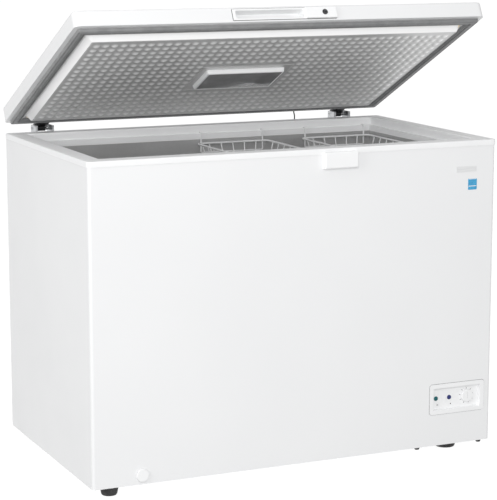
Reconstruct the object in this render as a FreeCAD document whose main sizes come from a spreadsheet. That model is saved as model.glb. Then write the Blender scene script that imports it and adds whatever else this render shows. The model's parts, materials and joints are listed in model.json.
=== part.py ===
import FreeCAD, Part
import math
import os
import re

import Sketcher

Vector = FreeCAD.Vector
Rotation = FreeCAD.Rotation
Placement = FreeCAD.Placement

# A chest freezer with its lid standing half open. Millimetres, +Z up, +Y towards the wall
# behind, +X to the right of a person who stands in front. The origin lies on the floor,
# under the middle of the whole object.

doc = FreeCAD.newDocument("ChestFreezer")

# ---------------------------------------------------------------------------------------
# Driving dimensions
# ---------------------------------------------------------------------------------------

DIMENSIONS = {
    # cabinet
    "cabinet_width": (1120, "over the rim frame"),
    "cabinet_depth": (655, "over the rim frame"),
    "front_plane": (-344, "Y of the rim frame's front"),
    "rim_top": (830, "height of the rim above the floor"),
    "body_floor": (28, "underside of the cabinet, on its feet"),
    "sheet_gauge": (1.0, "painted steel"),
    "wrap_corner": (8, "outside radius of the front corners"),
    "fold_gap": (2.1, "flat sheets inside the wrap's bends"),
    "rim_width": (44, "rim frame, flat top"),
    "rim_height": (14, "rim frame, fascia"),
    "rim_overhang": (2, "rim frame beyond the steel wrap"),
    "rim_skin": (2.5, "rim frame, wall"),
    "rim_corner": (10, "rim frame, front corners"),
    "breaker_drop": (21, "rim top down to the ledge"),
    "breaker_ledge": (8, "width of the ledge that baskets hang on"),
    "breaker_lip": (16, "wall below the ledge"),
    "breaker_skin": (2, "breaker strip, wall"),
    "liner_gauge": (0.8, "embossed aluminium"),
    "liner_floor": (88, "height of the cavity's floor"),
    # compressor bay, a step in the right-hand end of the cavity
    "bay_width": (240, "inside"),
    "bay_height": (250, "inside"),
    "bay_foam": (60, "insulation between the bay and the cavity"),
    "pump_radius": (78, "compressor shell"),
    "pump_height": (168, "compressor shell"),
    "mount_across": (88, "rubber mount from the compressor's axis"),
    "mount_along": (46, "rubber mount from the compressor's axis"),
    # lid
    "lid_gap": (11, "between rim and lid when shut"),
    "lid_height": (41, "outer shell"),
    "lid_corner": (14, "vertical corners"),
    "lid_brow": (6, "top edges"),
    "lid_open_angle": (26, "where the lid rests here"),
    "pivot_setback": (35, "hinge axis behind the cabinet"),
    "pivot_rise": (5, "hinge axis above the rim"),
    "flange_width": (30, "shell's turned-in flange"),
    "gasket_inset": (12, "gasket from the lid's edge"),
    "gasket_width": (25, "gasket"),
    "plug_inset": (44, "foot of the lid plug's slope"),
    "plug_slope": (14, "run of the slope"),
    "plug_depth": (18, "rise of the slope"),
    "plug_skin": (1.2, "lid liner"),
    # lamp in the lid
    "lamp_centre_x": (-12, "from the middle of the lid"),
    "lamp_centre_y": (328, "from the lid's front"),
    "lamp_width": (222, "housing"),
    "lamp_depth": (116, "housing"),
    "lamp_drop": (11, "housing below the plug"),
    "lamp_wall": (3, "housing"),
    # handle and lock in the lid's front
    "grip_left": (-151, "left end of the handle module"),
    "grip_right": (46, "where the lock plate starts"),
    "lock_right": (131, "right end of the lock plate"),
    "module_base": (5, "above the lid's lower edge"),
    "module_height": (29, "handle and lock"),
    "grip_depth": (26, "finger recess"),
    "lock_proud": (7, "lock plate in front of the lid"),
    "key_x": (98, "key barrel"),
    "key_radius": (7, "key barrel"),
    "spindle_radius": (4, "key spindle"),
    "running_fit": (0.05, "radial clearance of a turning shaft"),
    "body_gap": (0.3, "between pieces that move past each other"),
    "hook_reach": (44, "lock hook"),
    # catch on the cabinet
    "catch_x": (106, "middle"),
    "catch_width": (94, "lock catch"),
    "catch_height": (42, "lock catch"),
    "catch_drop": (8, "rim top down to the catch"),
    "catch_proud": (12, "in front of the rim"),
    # plates on the front
    "plate_x": (472, "name plate, middle"),
    "plate_width": (60, "name plate"),
    "plate_height": (15, "name plate"),
    "plate_drop": (66, "rim top down to the name plate"),
    "sticker_x": (491, "sticker, middle"),
    "sticker_width": (26, "sticker"),
    "sticker_height": (29, "sticker"),
    "sticker_drop": (99, "rim top down to the sticker"),
    # control panel
    "panel_x": (456.5, "middle"),
    "panel_z": (152.5, "middle"),
    "panel_width": (163, "bezel"),
    "panel_height": (81, "bezel"),
    "panel_proud": (1.5, "bezel's face in front of the wrap"),
    "panel_recess": (9.5, "floor of the bezel behind the wrap's face"),
    "panel_border": (11, "flat edge of the bezel"),
    "dial_x": (491, "thermostat dial"),
    "dial_radius": (16.5, "thermostat dial"),
    "shaft_radius": (3, "thermostat shaft"),
    "green_x": (399, "power indicator"),
    "blue_x": (439, "cold indicator"),
    "indicator_radius": (6, "lens"),
    # drain
    "drain_x": (-429, "drain"),
    "drain_z": (51, "drain outlet"),
    "drain_radius": (11, "drain tube, outside"),
    "drain_bore": (8, "drain tube, inside"),
    "cap_radius": (16, "drain cap"),
    "drain_run": (122, "cabinet front to the floor outlet"),
    # hinges
    "hinge_x": (448, "from the middle"),
    "hinge_width": (52, "bracket"),
    "ear_gauge": (6, "bracket ears"),
    "pin_radius": (3, "hinge pin"),
    "knuckle_radius": (8, "hinge arm"),
    "arm_width": (39, "hinge arm"),
    "screw_radius": (2.4, "hinge screws"),
    "screw_length": (13, "hinge screws, below the head"),
    "bracket_screw_across": (16, "from the hinge's middle"),
    "bracket_screw_high": (28, "rim top down to the upper screws"),
    "bracket_screw_low": (82, "rim top down to the lower screws"),
    "arm_screw_across": (13, "from the hinge's middle"),
    "arm_screw_low": (20, "lid's lower edge up to the lower screws"),
    "arm_screw_high": (30, "lid's lower edge up to the upper screws"),
    "spring_length": (7, "coil on the hinge pin"),
    "spring_turns": (2.5, "coil on the hinge pin"),
    "spring_radius": (5.6, "middle of the wire"),
    "spring_wire": (1.1, "radius of the wire"),
    # baskets
    "basket_width": (218, "at its rim"),
    "basket_depth": (530, "at its rim"),
    "basket_height": (180, "rim to floor"),
    "basket_drop": (45, "rim top down to the basket's rim"),
    "basket_left_x": (73, "middle of the left basket"),
    "basket_right_x": (391, "middle of the right basket"),
    "basket_skin": (1.2, "mean thickness of the wire mesh"),
    "wire_radius": (2, "hanger wire"),
    "hanger_width": (186, "between a hanger's legs"),
    "hanger_drop": (28, "basket's rim down to the hanger's bar"),
    "hanger_hook": (11, "length of the hook on the ledge"),
    "basket_taper": (50, "rim in to the floor, on every side"),
    "basket_hem": (4, "solid rim"),
    # feet
    "foot_left_x": (-500, "left pair"),
    "foot_right_x": (469, "right pair, under the compressor tray"),
    "foot_inset": (45, "from the front and the rear"),
    "foot_setback": (36, "right front foot, behind the left one's line"),
    "foot_spread": (7, "extra radius of the right front foot, near the compressor"),
    "foot_top_radius": (25, "under the cabinet"),
    "foot_base_radius": (20, "on the floor"),
    # lamp lead
    "lead_x": (311, "lead from the cabinet to the lid"),
    "lead_radius": (1.8, "lead"),
    "lead_drop": (60, "rim top down to the lead's hole"),
    "lead_rise": (20, "lid's lower edge up to the lead's hole"),
}

sheet = doc.addObject("Spreadsheet::Sheet", "Dimensions")
for row, (alias, (number, meaning)) in enumerate(DIMENSIONS.items(), start=1):
    sheet.set("A%d" % row, alias.replace("_", " "))
    sheet.set("B%d" % row, str(number))
    sheet.set("C%d" % row, meaning)
    sheet.setAlias("B%d" % row, alias)
doc.recompute()


def bound(text):
    """An expression whose words refer to the sheet's cells."""
    def refer(word):
        return "Dimensions." + word.group() if word.group() in DIMENSIONS else word.group()
    return re.sub(r"[a-z][a-z_]+", refer, str(text))


def value(text):
    """The number that an expression gives now."""
    return float(sheet.evalExpression(bound(text)))


# Places that many pieces share, as expressions of the sheet's cells
HALF = "(cabinet_width / 2)"
FRONT = "front_plane"
REAR = "(front_plane + cabinet_depth)"
SKIN_HALF = "(cabinet_width / 2 - rim_overhang)"
SKIN_FRONT = "(front_plane + rim_overhang)"
SKIN_REAR = "(front_plane + cabinet_depth - rim_overhang)"
FOAM_HALF = "(cabinet_width / 2 - rim_overhang - sheet_gauge)"
FOAM_FRONT = "(front_plane + rim_overhang + sheet_gauge)"
FOAM_REAR = "(front_plane + cabinet_depth - rim_overhang - sheet_gauge)"
MIDDLE_Y = "(front_plane + cabinet_depth / 2)"
MOUTH = "rim_width"
CAVITY = "(rim_width + breaker_ledge)"
LEDGE = "(rim_top - breaker_drop)"
LINER_TOP = "(rim_top - breaker_drop - breaker_skin)"
BAY_LEFT = "(cabinet_width / 2 - rim_overhang - sheet_gauge - bay_width)"
BAY_TOP = "(body_floor + bay_height)"
STEP_LEFT = "(%s - bay_foam)" % BAY_LEFT
STEP_TOP = "(%s + bay_foam)" % BAY_TOP
PIVOT_Y = "(front_plane + cabinet_depth + pivot_setback)"
PIVOT_Z = "(rim_top + pivot_rise)"
LID_BASE = "(rim_top + lid_gap)"
LID_TOP = "(rim_top + lid_gap + lid_height)"
PLUG_FACE = "(rim_top + lid_gap - plug_depth)"
MODULE_LOW = "(rim_top + lid_gap + module_base)"
KEY_Z = "(rim_top + lid_gap + module_base + module_height / 2)"

nodes = []
lid_nodes = []


# ---------------------------------------------------------------------------------------
# Helpers
# ---------------------------------------------------------------------------------------

def set_position(thing, position):
    for axis, text in zip("xyz", position):
        thing.setExpression("Placement.Base." + axis, bound(text))


def box(name, low, high):
    """A box between two corners, each given as three expressions."""
    block = doc.addObject("Part::Box", name)
    for side, start, end in zip(("Length", "Width", "Height"), low, high):
        block.setExpression(side, bound("(%s) - (%s)" % (end, start)))
    set_position(block, low)
    return block


def frame_box(name, inset, low, high):
    """A box that stays a given inset inside the cabinet's four sides."""
    return box(name, ("-%s + (%s)" % (HALF, inset), "%s + (%s)" % (FRONT, inset), low),
               ("%s - (%s)" % (HALF, inset), "%s - (%s)" % (REAR, inset), high))


AXES = {
    "X": Rotation(Vector(0, 1, 0), 90),
    "Y": Rotation(Vector(1, 0, 0), -90),
    "Z": Rotation(),
}


def rod(name, axis, radius, start, length):
    """A cylinder that starts at a point and runs along an axis."""
    cylinder = doc.addObject("Part::Cylinder", name)
    cylinder.Placement = Placement(Vector(), AXES[axis])
    cylinder.setExpression("Radius", bound(radius))
    cylinder.setExpression("Height", bound(length))
    set_position(cylinder, start)
    return cylinder


def funnel(name, inset, slope, top, height, half=HALF, front=FRONT, rear=REAR, centre="0"):
    """A block that narrows downwards from a rectangle by the slope on every side."""
    wedge = doc.addObject("Part::Wedge", name)
    wedge.Placement = Placement(Vector(), Rotation(Vector(1, 0, 0), -90))
    for key, text in {
        "Ymin": "0", "Ymax": height,
        "Xmin": "-%s + %s" % (half, inset), "Xmax": "%s - %s" % (half, inset),
        "Zmin": "%s + %s" % (front, inset), "Zmax": "%s - %s" % (rear, inset),
        "X2min": "-%s + %s + %s" % (half, inset, slope),
        "X2max": "%s - %s - %s" % (half, inset, slope),
        "Z2min": "%s + %s + %s" % (front, inset, slope),
        "Z2max": "%s - %s - %s" % (rear, inset, slope),
    }.items():
        wedge.setExpression(key, bound(text))
    set_position(wedge, (centre, "0", top))
    return wedge


def fuse(name, *shapes):
    union = doc.addObject("Part::MultiFuse", name)
    union.Shapes = list(shapes)
    union.Refine = True
    return union


def cut(name, base, *tools):
    result = doc.addObject("Part::Cut", name)
    result.Base = base
    result.Tool = tools[0] if len(tools) == 1 else fuse(name + "_tools", *tools)
    result.Refine = True
    return result


def group(name, *shapes):
    """Pieces that share a node: a compound of separate solids."""
    compound = doc.addObject("Part::Compound", name)
    compound.Links = list(shapes)
    return compound


def round_edges(name, base, radius, chosen):
    """Fillet the edges of base for which chosen(edge) is true."""
    doc.recompute()
    fillet = doc.addObject("Part::Fillet", name)
    fillet.Base = base
    size = value(radius)
    fillet.Edges = [(index, size, size) for index, edge in enumerate(base.Shape.Edges, start=1)
                    if chosen(edge)]
    return fillet


def runs_along(edge, axis):
    """True for a straight edge that is parallel to an axis."""
    if not isinstance(edge.Curve, Part.Line):
        return False
    direction = edge.Curve.Direction
    return abs(abs(getattr(direction, axis)) - 1) < 1e-6


def upright(edge):
    return runs_along(edge, "z")


def along_y(edge):
    return runs_along(edge, "y")


def at_height(text):
    level = value(text)
    return lambda edge: (abs(edge.BoundBox.ZMin - level) < 1e-4
                         and abs(edge.BoundBox.ZMax - level) < 1e-4)


def at_front(text):
    plane = value(text)
    return lambda edge: (abs(edge.BoundBox.YMin - plane) < 1e-4
                         and abs(edge.BoundBox.YMax - plane) < 1e-4)


def origin_plane(body, role):
    return next(feature for feature in body.Origin.OriginFeatures if feature.Role == role)


def closed_sketch(body, role, corners):
    """A closed outline of straight lines, each corner held by the sheet's cells."""
    sketch = body.newObject("Sketcher::SketchObject", body.Name + "_outline")
    sketch.AttachmentSupport = [(origin_plane(body, role), "")]
    sketch.MapMode = "FlatFace"
    points = [Vector(value(x), value(y), 0) for x, y in corners]
    count = len(points)
    for index in range(count):
        sketch.addGeometry(Part.LineSegment(points[index], points[(index + 1) % count]))
    for index in range(count):
        sketch.addConstraint(
            Sketcher.Constraint("Coincident", index, 2, (index + 1) % count, 1))
    for index, (x, y) in enumerate(corners):
        for kind, axis, text, number in (("DistanceX", -2, x, points[index].x),
                                         ("DistanceY", -1, y, points[index].y)):
            if abs(number) < 1e-9:
                sketch.addConstraint(Sketcher.Constraint("PointOnObject", index, 1, axis))
            else:
                held = sketch.addConstraint(Sketcher.Constraint(kind, -1, 1, index, 1, number))
                sketch.setExpression("Constraints[%d]" % held, bound(text))
    return sketch


def turned_body(name, corners):
    """A body of revolution about +Z from an outline of (radius, height) corners."""
    body = doc.addObject("PartDesign::Body", name)
    outline = closed_sketch(body, "XZ_Plane", corners)
    turned = body.newObject("PartDesign::Revolution", name + "_turned")
    turned.Profile = outline
    turned.ReferenceAxis = (outline, ["V_Axis"])
    turned.Angle = 360
    return body


def folded_body(name, corners, length):
    """A section in XZ, padded along -Y for the given length."""
    body = doc.addObject("PartDesign::Body", name)
    outline = closed_sketch(body, "XZ_Plane", corners)
    pad = body.newObject("PartDesign::Pad", name + "_pad")
    pad.Profile = outline
    pad.setExpression("Length", bound(length))
    return body


def bent_tube(name, points, radius, bend):
    """A tube of round wire through points, with an arc of the given radius at each bend."""
    corners = [Vector(*(value(text) for text in point)) for point in points]
    edges = []
    start = corners[0]
    for before, corner, after in zip(corners, corners[1:], corners[2:]):
        inward = (corner - before).normalize()
        outward = (after - corner).normalize()
        half_turn = inward.getAngle(outward) / 2
        reach = bend * math.tan(half_turn)
        first = corner - inward * reach
        last = corner + outward * reach
        inside = (outward - inward).normalize()
        centre = corner + inside * (bend / math.cos(half_turn))
        middle = centre - inside * bend
        edges.append(Part.LineSegment(start, first).toShape())
        edges.append(Part.Arc(first, middle, last).toShape())
        start = last
    edges.append(Part.LineSegment(start, corners[-1]).toShape())
    path = Part.Wire(edges)
    section = Part.Wire([Part.makeCircle(value(radius), corners[0], corners[1] - corners[0])])
    tube = doc.addObject("Part::Feature", name)
    tube.Shape = path.makePipeShell([section], True, True)
    return tube


def serpentine(name, low_x, high_x, heights, depth, radius, pitch):
    """Level runs of tube, joined at alternate ends, that climb one wall."""
    points = []
    for index, height in enumerate(heights):
        ends = (low_x, high_x) if index % 2 == 0 else (high_x, low_x)
        points += [(end, depth, height) for end in ends]
    return bent_tube(name, points, radius, 0.4 * pitch)


def node(thing, label, on_lid=False):
    """Keep a finished piece. A piece of the lid is modelled shut and then swings open."""
    thing.Label = label
    nodes.append(thing)
    if on_lid:
        lid_nodes.append(thing)
    return thing


# ---------------------------------------------------------------------------------------
# Cabinet: steel skin
# ---------------------------------------------------------------------------------------

def front_upright(edge):
    return upright(edge) and edge.BoundBox.YMax < value(MIDDLE_Y)


def make_outer_wrap():
    """One painted sheet bent round the front and both sides."""
    block = box("wrap_block", ("-" + SKIN_HALF, SKIN_FRONT, "body_floor"),
                (SKIN_HALF, SKIN_REAR, "rim_top - rim_skin"))
    outside = round_edges("wrap_outside", block, "wrap_corner", front_upright)
    hollow_block = box("wrap_hollow_block",
                       ("-" + FOAM_HALF, FOAM_FRONT, "body_floor - 10"),
                       (FOAM_HALF, REAR + " + 10", "rim_top + 10"))
    hollow = round_edges("wrap_hollow", hollow_block, "wrap_corner - sheet_gauge", front_upright)
    panel_hole = box("wrap_panel_hole",
                     ("panel_x - panel_width / 2 + 4", "%s - 5" % SKIN_FRONT,
                      "panel_z - panel_height / 2 + 4"),
                     ("panel_x + panel_width / 2 - 4", "%s + 5" % SKIN_FRONT,
                      "panel_z + panel_height / 2 - 4"))
    drain_hole = rod("wrap_drain_hole", "Y", "drain_radius",
                     ("drain_x", "%s - 5" % SKIN_FRONT, "drain_z"), "10")
    grille_hole = box("wrap_grille_hole", (SKIN_HALF + " - 5", GRILLE_FRONT, GRILLE_LOW),
                      (SKIN_HALF + " + 5", GRILLE_BACK, GRILLE_HIGH))
    node(cut("outer_wrap_sheet", outside, hollow, panel_hole, drain_hole, grille_hole),
         "outer_wrap")


GRILLE_FRONT = "(%s - 300)" % REAR
GRILLE_BACK = "(%s - 100)" % REAR
GRILLE_LOW = "(body_floor + 42)"
GRILLE_HIGH = "(body_floor + 172)"
COVER_MARGIN = 12
HINGE_SIDES = {"left": "-hinge_x", "right": "hinge_x"}


BRACKET_SCREWS = [(across, height)
                  for across in ("-bracket_screw_across", "bracket_screw_across")
                  for height in ("rim_top - bracket_screw_high", "rim_top - bracket_screw_low")]
ARM_SCREWS = [(across, height)
              for across in ("-arm_screw_across", "arm_screw_across")
              for height in (LID_BASE + " + arm_screw_low", LID_BASE + " + arm_screw_high")]


def screw_rods(name, places, radius, start, length, middles=tuple(HINGE_SIDES.values())):
    """Cylinders along +Y in the screw positions of the hinges with the given middles."""
    return [rod(name, "Y", radius, ("%s + %s" % (middle, across), start, height), length)
            for middle in middles for across, height in places]


def make_back_panel():
    """The flat sheet behind, with the opening of the compressor bay."""
    sheet_block = box("back_block", ("-" + FOAM_HALF, FOAM_REAR, "body_floor"),
                      (FOAM_HALF, SKIN_REAR, "rim_top - rim_skin"))
    opening = box("back_opening",
                  ("%s + %d" % (BAY_LEFT, COVER_MARGIN), FOAM_REAR + " - 5",
                   "body_floor + %d" % COVER_MARGIN),
                  ("%s - %d" % (FOAM_HALF, COVER_MARGIN), SKIN_REAR + " + 5",
                   "%s - %d" % (BAY_TOP, COVER_MARGIN)))
    lead_hole = rod("back_lead_hole", "Y", "lead_radius",
                    ("lead_x", FOAM_REAR + " - 5", "rim_top - lead_drop"), "12")
    holes = screw_rods("back_screw_hole", BRACKET_SCREWS, "screw_radius", FOAM_REAR + " - 5",
                       "12")
    node(cut("back_panel_sheet", sheet_block, opening, lead_hole, *holes), "back_panel")


def make_base_pan():
    """A folded sheet: floor of the insulated part, bulkhead and roof of the bay."""
    left = "(fold_gap - %s)" % FOAM_HALF
    right = "(%s - fold_gap)" % FOAM_HALF
    corners = [(left, "body_floor"), (BAY_LEFT, "body_floor"), (BAY_LEFT, BAY_TOP),
               (right, BAY_TOP), (right, BAY_TOP + " + sheet_gauge"),
               (BAY_LEFT + " - sheet_gauge", BAY_TOP + " + sheet_gauge"),
               (BAY_LEFT + " - sheet_gauge", "body_floor + sheet_gauge"),
               (left, "body_floor + sheet_gauge")]
    body = folded_body("base_pan_fold", corners,
                       "%s - %s - fold_gap" % (FOAM_REAR, FOAM_FRONT))
    body.setExpression("Placement.Base.y", bound(FOAM_REAR))
    node(body, "base_pan")


def make_compressor_tray():
    """The floor of the bay, slotted for air."""
    plate = box("tray_plate", (BAY_LEFT, FOAM_FRONT + " + fold_gap", "body_floor"),
                (FOAM_HALF + " - fold_gap", FOAM_REAR, "body_floor + 2"))
    slots = []
    for index in range(5):
        near = "%s + 60 + %d" % (FOAM_FRONT, 30 * index)
        slots.append(box("tray_slot_%d" % index,
                         (BAY_LEFT + " + 40", near, "body_floor - 5"),
                         (FOAM_HALF + " - 130", near + " + 10", "body_floor + 5")))
    node(cut("compressor_tray_plate", plate, *slots), "compressor_tray")


# ---------------------------------------------------------------------------------------
# Cabinet: cavity, rim and insulation
# ---------------------------------------------------------------------------------------

def liner_solid(name, growth):
    """The cavity below the breaker strip, grown outwards by a wall's thickness."""
    tub = frame_box(name + "_tub", "(%s - %s)" % (CAVITY, growth), "liner_floor - " + growth,
                    LINER_TOP)
    step = box(name + "_step",
               ("%s + %s" % (STEP_LEFT, growth), FRONT, "0"),
               (HALF, REAR, "%s - %s" % (STEP_TOP, growth)))
    return cut(name, tub, step)


def floor_drain_rod(name, radius, low, high):
    return rod(name, "Z", radius, ("drain_x", "%s + drain_run" % FRONT, low),
               "(%s) - (%s)" % (high, low))


def make_liner_and_foam():
    """The embossed aluminium tub and the foam that fills the walls around it."""
    outside = liner_solid("liner_outside", "liner_gauge")
    inside = liner_solid("liner_inside", "0")
    outlet = floor_drain_rod("liner_outlet", "drain_bore", "liner_floor - 5", "liner_floor + 5")
    node(cut("inner_liner_tub", outside, inside, outlet), "inner_liner")

    block = box("foam_block", ("-" + FOAM_HALF, FOAM_FRONT, "body_floor + sheet_gauge"),
                (FOAM_HALF, FOAM_REAR, "rim_top - rim_height"))
    rounded = round_edges("foam_rounded", block, "wrap_corner - sheet_gauge", front_upright)
    bay = box("foam_bay", (BAY_LEFT + " - sheet_gauge", FRONT, "0"),
              (HALF, REAR, BAY_TOP + " + sheet_gauge"))
    mouth = frame_box("foam_mouth", MOUTH, LINER_TOP, "rim_top + 10")
    tub = liner_solid("foam_tub", "liner_gauge")
    drain = rod("foam_drain", "Y", "drain_radius", ("drain_x", FRONT, "drain_z"), "drain_run")
    elbow = doc.addObject("Part::Sphere", "foam_elbow")
    elbow.setExpression("Radius", bound("drain_radius"))
    set_position(elbow, ("drain_x", "%s + drain_run" % FRONT, "drain_z"))
    riser = floor_drain_rod("foam_riser", "drain_radius", "drain_z", "liner_floor + 5")
    lead = rod("foam_lead", "Y", "lead_radius",
               ("lead_x", FOAM_REAR + " - 10", "rim_top - lead_drop"), "20")
    holes = screw_rods("foam_screw_hole", BRACKET_SCREWS, "screw_radius", FOAM_REAR + " - 9",
                       "20")
    node(cut("foam_fill", rounded, bay, mouth, tub, drain, elbow, riser, lead, evaporator,
             condenser, *holes), "foam_insulation")


def make_coils():
    """Tube bonded to the liner's rear wall and tube bonded to the wrap's front sheet."""
    pitch = 80
    levels = ["%s + 50 + %d" % (STEP_TOP, pitch * index) for index in range(6)]
    cold = serpentine("evaporator_tube", "-%s + 120" % HALF, "%s - 130" % HALF, levels,
                      "%s - %s + liner_gauge + 4.1" % (REAR, CAVITY), "4", pitch)
    warm = serpentine("condenser_tube", "-%s + 60" % HALF, "%s - 60" % HALF, levels,
                      FOAM_FRONT + " + 3.1", "3", pitch)
    return node(cold, "evaporator_coil"), node(warm, "condenser_coil")


def make_rim_frame():
    """The white plastic frame that caps the walls."""
    block = frame_box("rim_block", "0", "rim_top - rim_height", "rim_top")
    front = round_edges("rim_front_corners", block, "rim_corner", front_upright)
    corners = round_edges("rim_rear_corners", front, "6",
                          lambda edge: upright(edge) and edge.BoundBox.YMin > value(MIDDLE_Y))
    brow = round_edges("rim_brow", corners, "3", at_height("rim_top"))
    mouth = frame_box("rim_mouth", MOUTH, "0", "rim_top + 10")
    channel_block = frame_box("rim_channel_block", "rim_overhang", "0", "rim_top - rim_skin")
    channel_out = round_edges("rim_channel_out", channel_block, "wrap_corner", front_upright)
    channel_in = frame_box("rim_channel_in", "(%s - 2)" % MOUTH, "0", "rim_top")
    channel = cut("rim_channel", channel_out, channel_in)
    node(cut("rim_frame_moulding", brow, mouth, channel), "rim_frame")


def make_breaker_strip():
    """The moulding below the rim, with the ledge that the baskets hang on."""
    outer = frame_box("breaker_outer", MOUTH, LINER_TOP, "rim_top - 1.5")
    upper = frame_box("breaker_upper", MOUTH + " + breaker_skin", LEDGE, "rim_top")
    through = frame_box("breaker_through", CAVITY, "0", "rim_top")
    shelf = cut("breaker_shelf", outer, upper, through)
    lip_out = frame_box("breaker_lip_out", CAVITY, LEDGE + " - breaker_lip", LEDGE)
    lip_in = frame_box("breaker_lip_in", CAVITY + " + breaker_skin", "0", "rim_top")
    lip = cut("breaker_lip_ring", lip_out, lip_in)
    node(fuse("breaker_strip_moulding", shelf, lip), "breaker_strip")


# ---------------------------------------------------------------------------------------
# Cabinet: lock catch, plates, control panel
# ---------------------------------------------------------------------------------------

def make_lock_catch():
    """The keeper under the rim that the lid's hook swings into."""
    low = "(rim_top - catch_drop - catch_height)"
    top = "(rim_top - catch_drop)"
    face = "(%s - catch_proud)" % FRONT
    block = box("catch_block", ("catch_x - catch_width / 2", face, low),
                ("catch_x + catch_width / 2", SKIN_FRONT, top))
    rounded = round_edges("catch_rounded", block, "4", at_front(face))
    fascia = box("catch_fascia", ("-" + HALF, FRONT, "rim_top - rim_height"),
                 (HALF, SKIN_FRONT + " + 1", "rim_top"))
    slot = box("catch_slot", ("key_x - 33", FRONT + " - 6", top + " - 18"),
               ("key_x + 10", FRONT + " - 1.5", top + " + 5"))
    node(cut("lock_catch_moulding", rounded, fascia, slot), "lock_catch")


def make_plates():
    """A blank name plate and a blank sticker."""
    for label, alias, gauge in (("nameplate", "plate", "1"), ("info_label", "sticker", "0.3")):
        blank = box(alias + "_block",
                    ("{0}_x - {0}_width / 2".format(alias), "%s - %s" % (SKIN_FRONT, gauge),
                     "rim_top - {0}_drop - {0}_height".format(alias)),
                    ("{0}_x + {0}_width / 2".format(alias), SKIN_FRONT,
                     "rim_top - {0}_drop".format(alias)))
        node(round_edges(alias + "_rounded", blank, "2", along_y), label)


PANEL_FLOOR = "(%s + panel_recess)" % SKIN_FRONT
PANEL_BACK = "(%s + panel_recess + 3)" % SKIN_FRONT


def panel_box(name, inset, near, far):
    return box(name,
               ("panel_x - panel_width / 2 + " + inset, near,
                "panel_z - panel_height / 2 + " + inset),
               ("panel_x + panel_width / 2 - " + inset, far,
                "panel_z + panel_height / 2 - " + inset))


def make_control_panel():
    """The bezel, two indicator lenses, the thermostat and its dial."""
    face = "(%s - panel_proud)" % SKIN_FRONT
    flange = round_edges("bezel_flange", panel_box("bezel_flange_box", "0", face, SKIN_FRONT),
                         "7", along_y)
    body = panel_box("bezel_body", "4", SKIN_FRONT, PANEL_BACK)
    recess = round_edges("bezel_recess",
                         panel_box("bezel_recess_box", "panel_border", face + " - 1",
                                   PANEL_FLOOR), "4", along_y)
    bore = rod("bezel_bore", "Y", "shaft_radius + running_fit",
               ("dial_x", PANEL_FLOOR + " - 5", "panel_z"), "20")
    holes = [rod("bezel_hole", "Y", "indicator_radius", (x, PANEL_FLOOR + " - 5", "panel_z"),
                 "20") for x in ("green_x", "blue_x")]
    node(cut("control_bezel_moulding", fuse("bezel_solid", flange, body), recess, bore, *holes),
         "control_bezel")

    for label, x in (("green_indicator", "green_x"), ("blue_indicator", "blue_x")):
        lens = rod(label + "_rod", "Y", "indicator_radius", (x, PANEL_FLOOR + " - 2", "panel_z"),
                   "5")
        node(round_edges(label + "_lens", lens, "1.5", at_front(PANEL_FLOOR + " - 2")), label)

    case = box("thermostat_case", ("dial_x - 22", PANEL_BACK, "panel_z - 16"),
               ("dial_x + 22", PANEL_BACK + " + 38", "panel_z + 16"))
    socket = rod("thermostat_socket", "Y", "shaft_radius + running_fit",
                 ("dial_x", PANEL_BACK + " - 5", "panel_z"), "27")
    node(cut("thermostat_block", case, socket), "thermostat_body")

    disc = rod("dial_disc", "Y", "dial_radius", ("dial_x", PANEL_FLOOR + " - 7", "panel_z"),
               "6.5")
    knob = round_edges("dial_knob", disc, "1.5", at_front(PANEL_FLOOR + " - 7"))
    shaft = rod("dial_shaft", "Y", "shaft_radius", ("dial_x", PANEL_FLOOR + " - 1", "panel_z"),
                "24")
    slot = box("dial_slot", ("dial_x - 1", PANEL_FLOOR + " - 8", "panel_z - 9"),
               ("dial_x + 1", PANEL_FLOOR + " - 5.2", "panel_z + 9"))
    node(cut("dial_slotted", fuse("dial_solid", knob, shaft), slot), "thermostat_dial")


# ---------------------------------------------------------------------------------------
# Cabinet: drain
# ---------------------------------------------------------------------------------------

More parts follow.
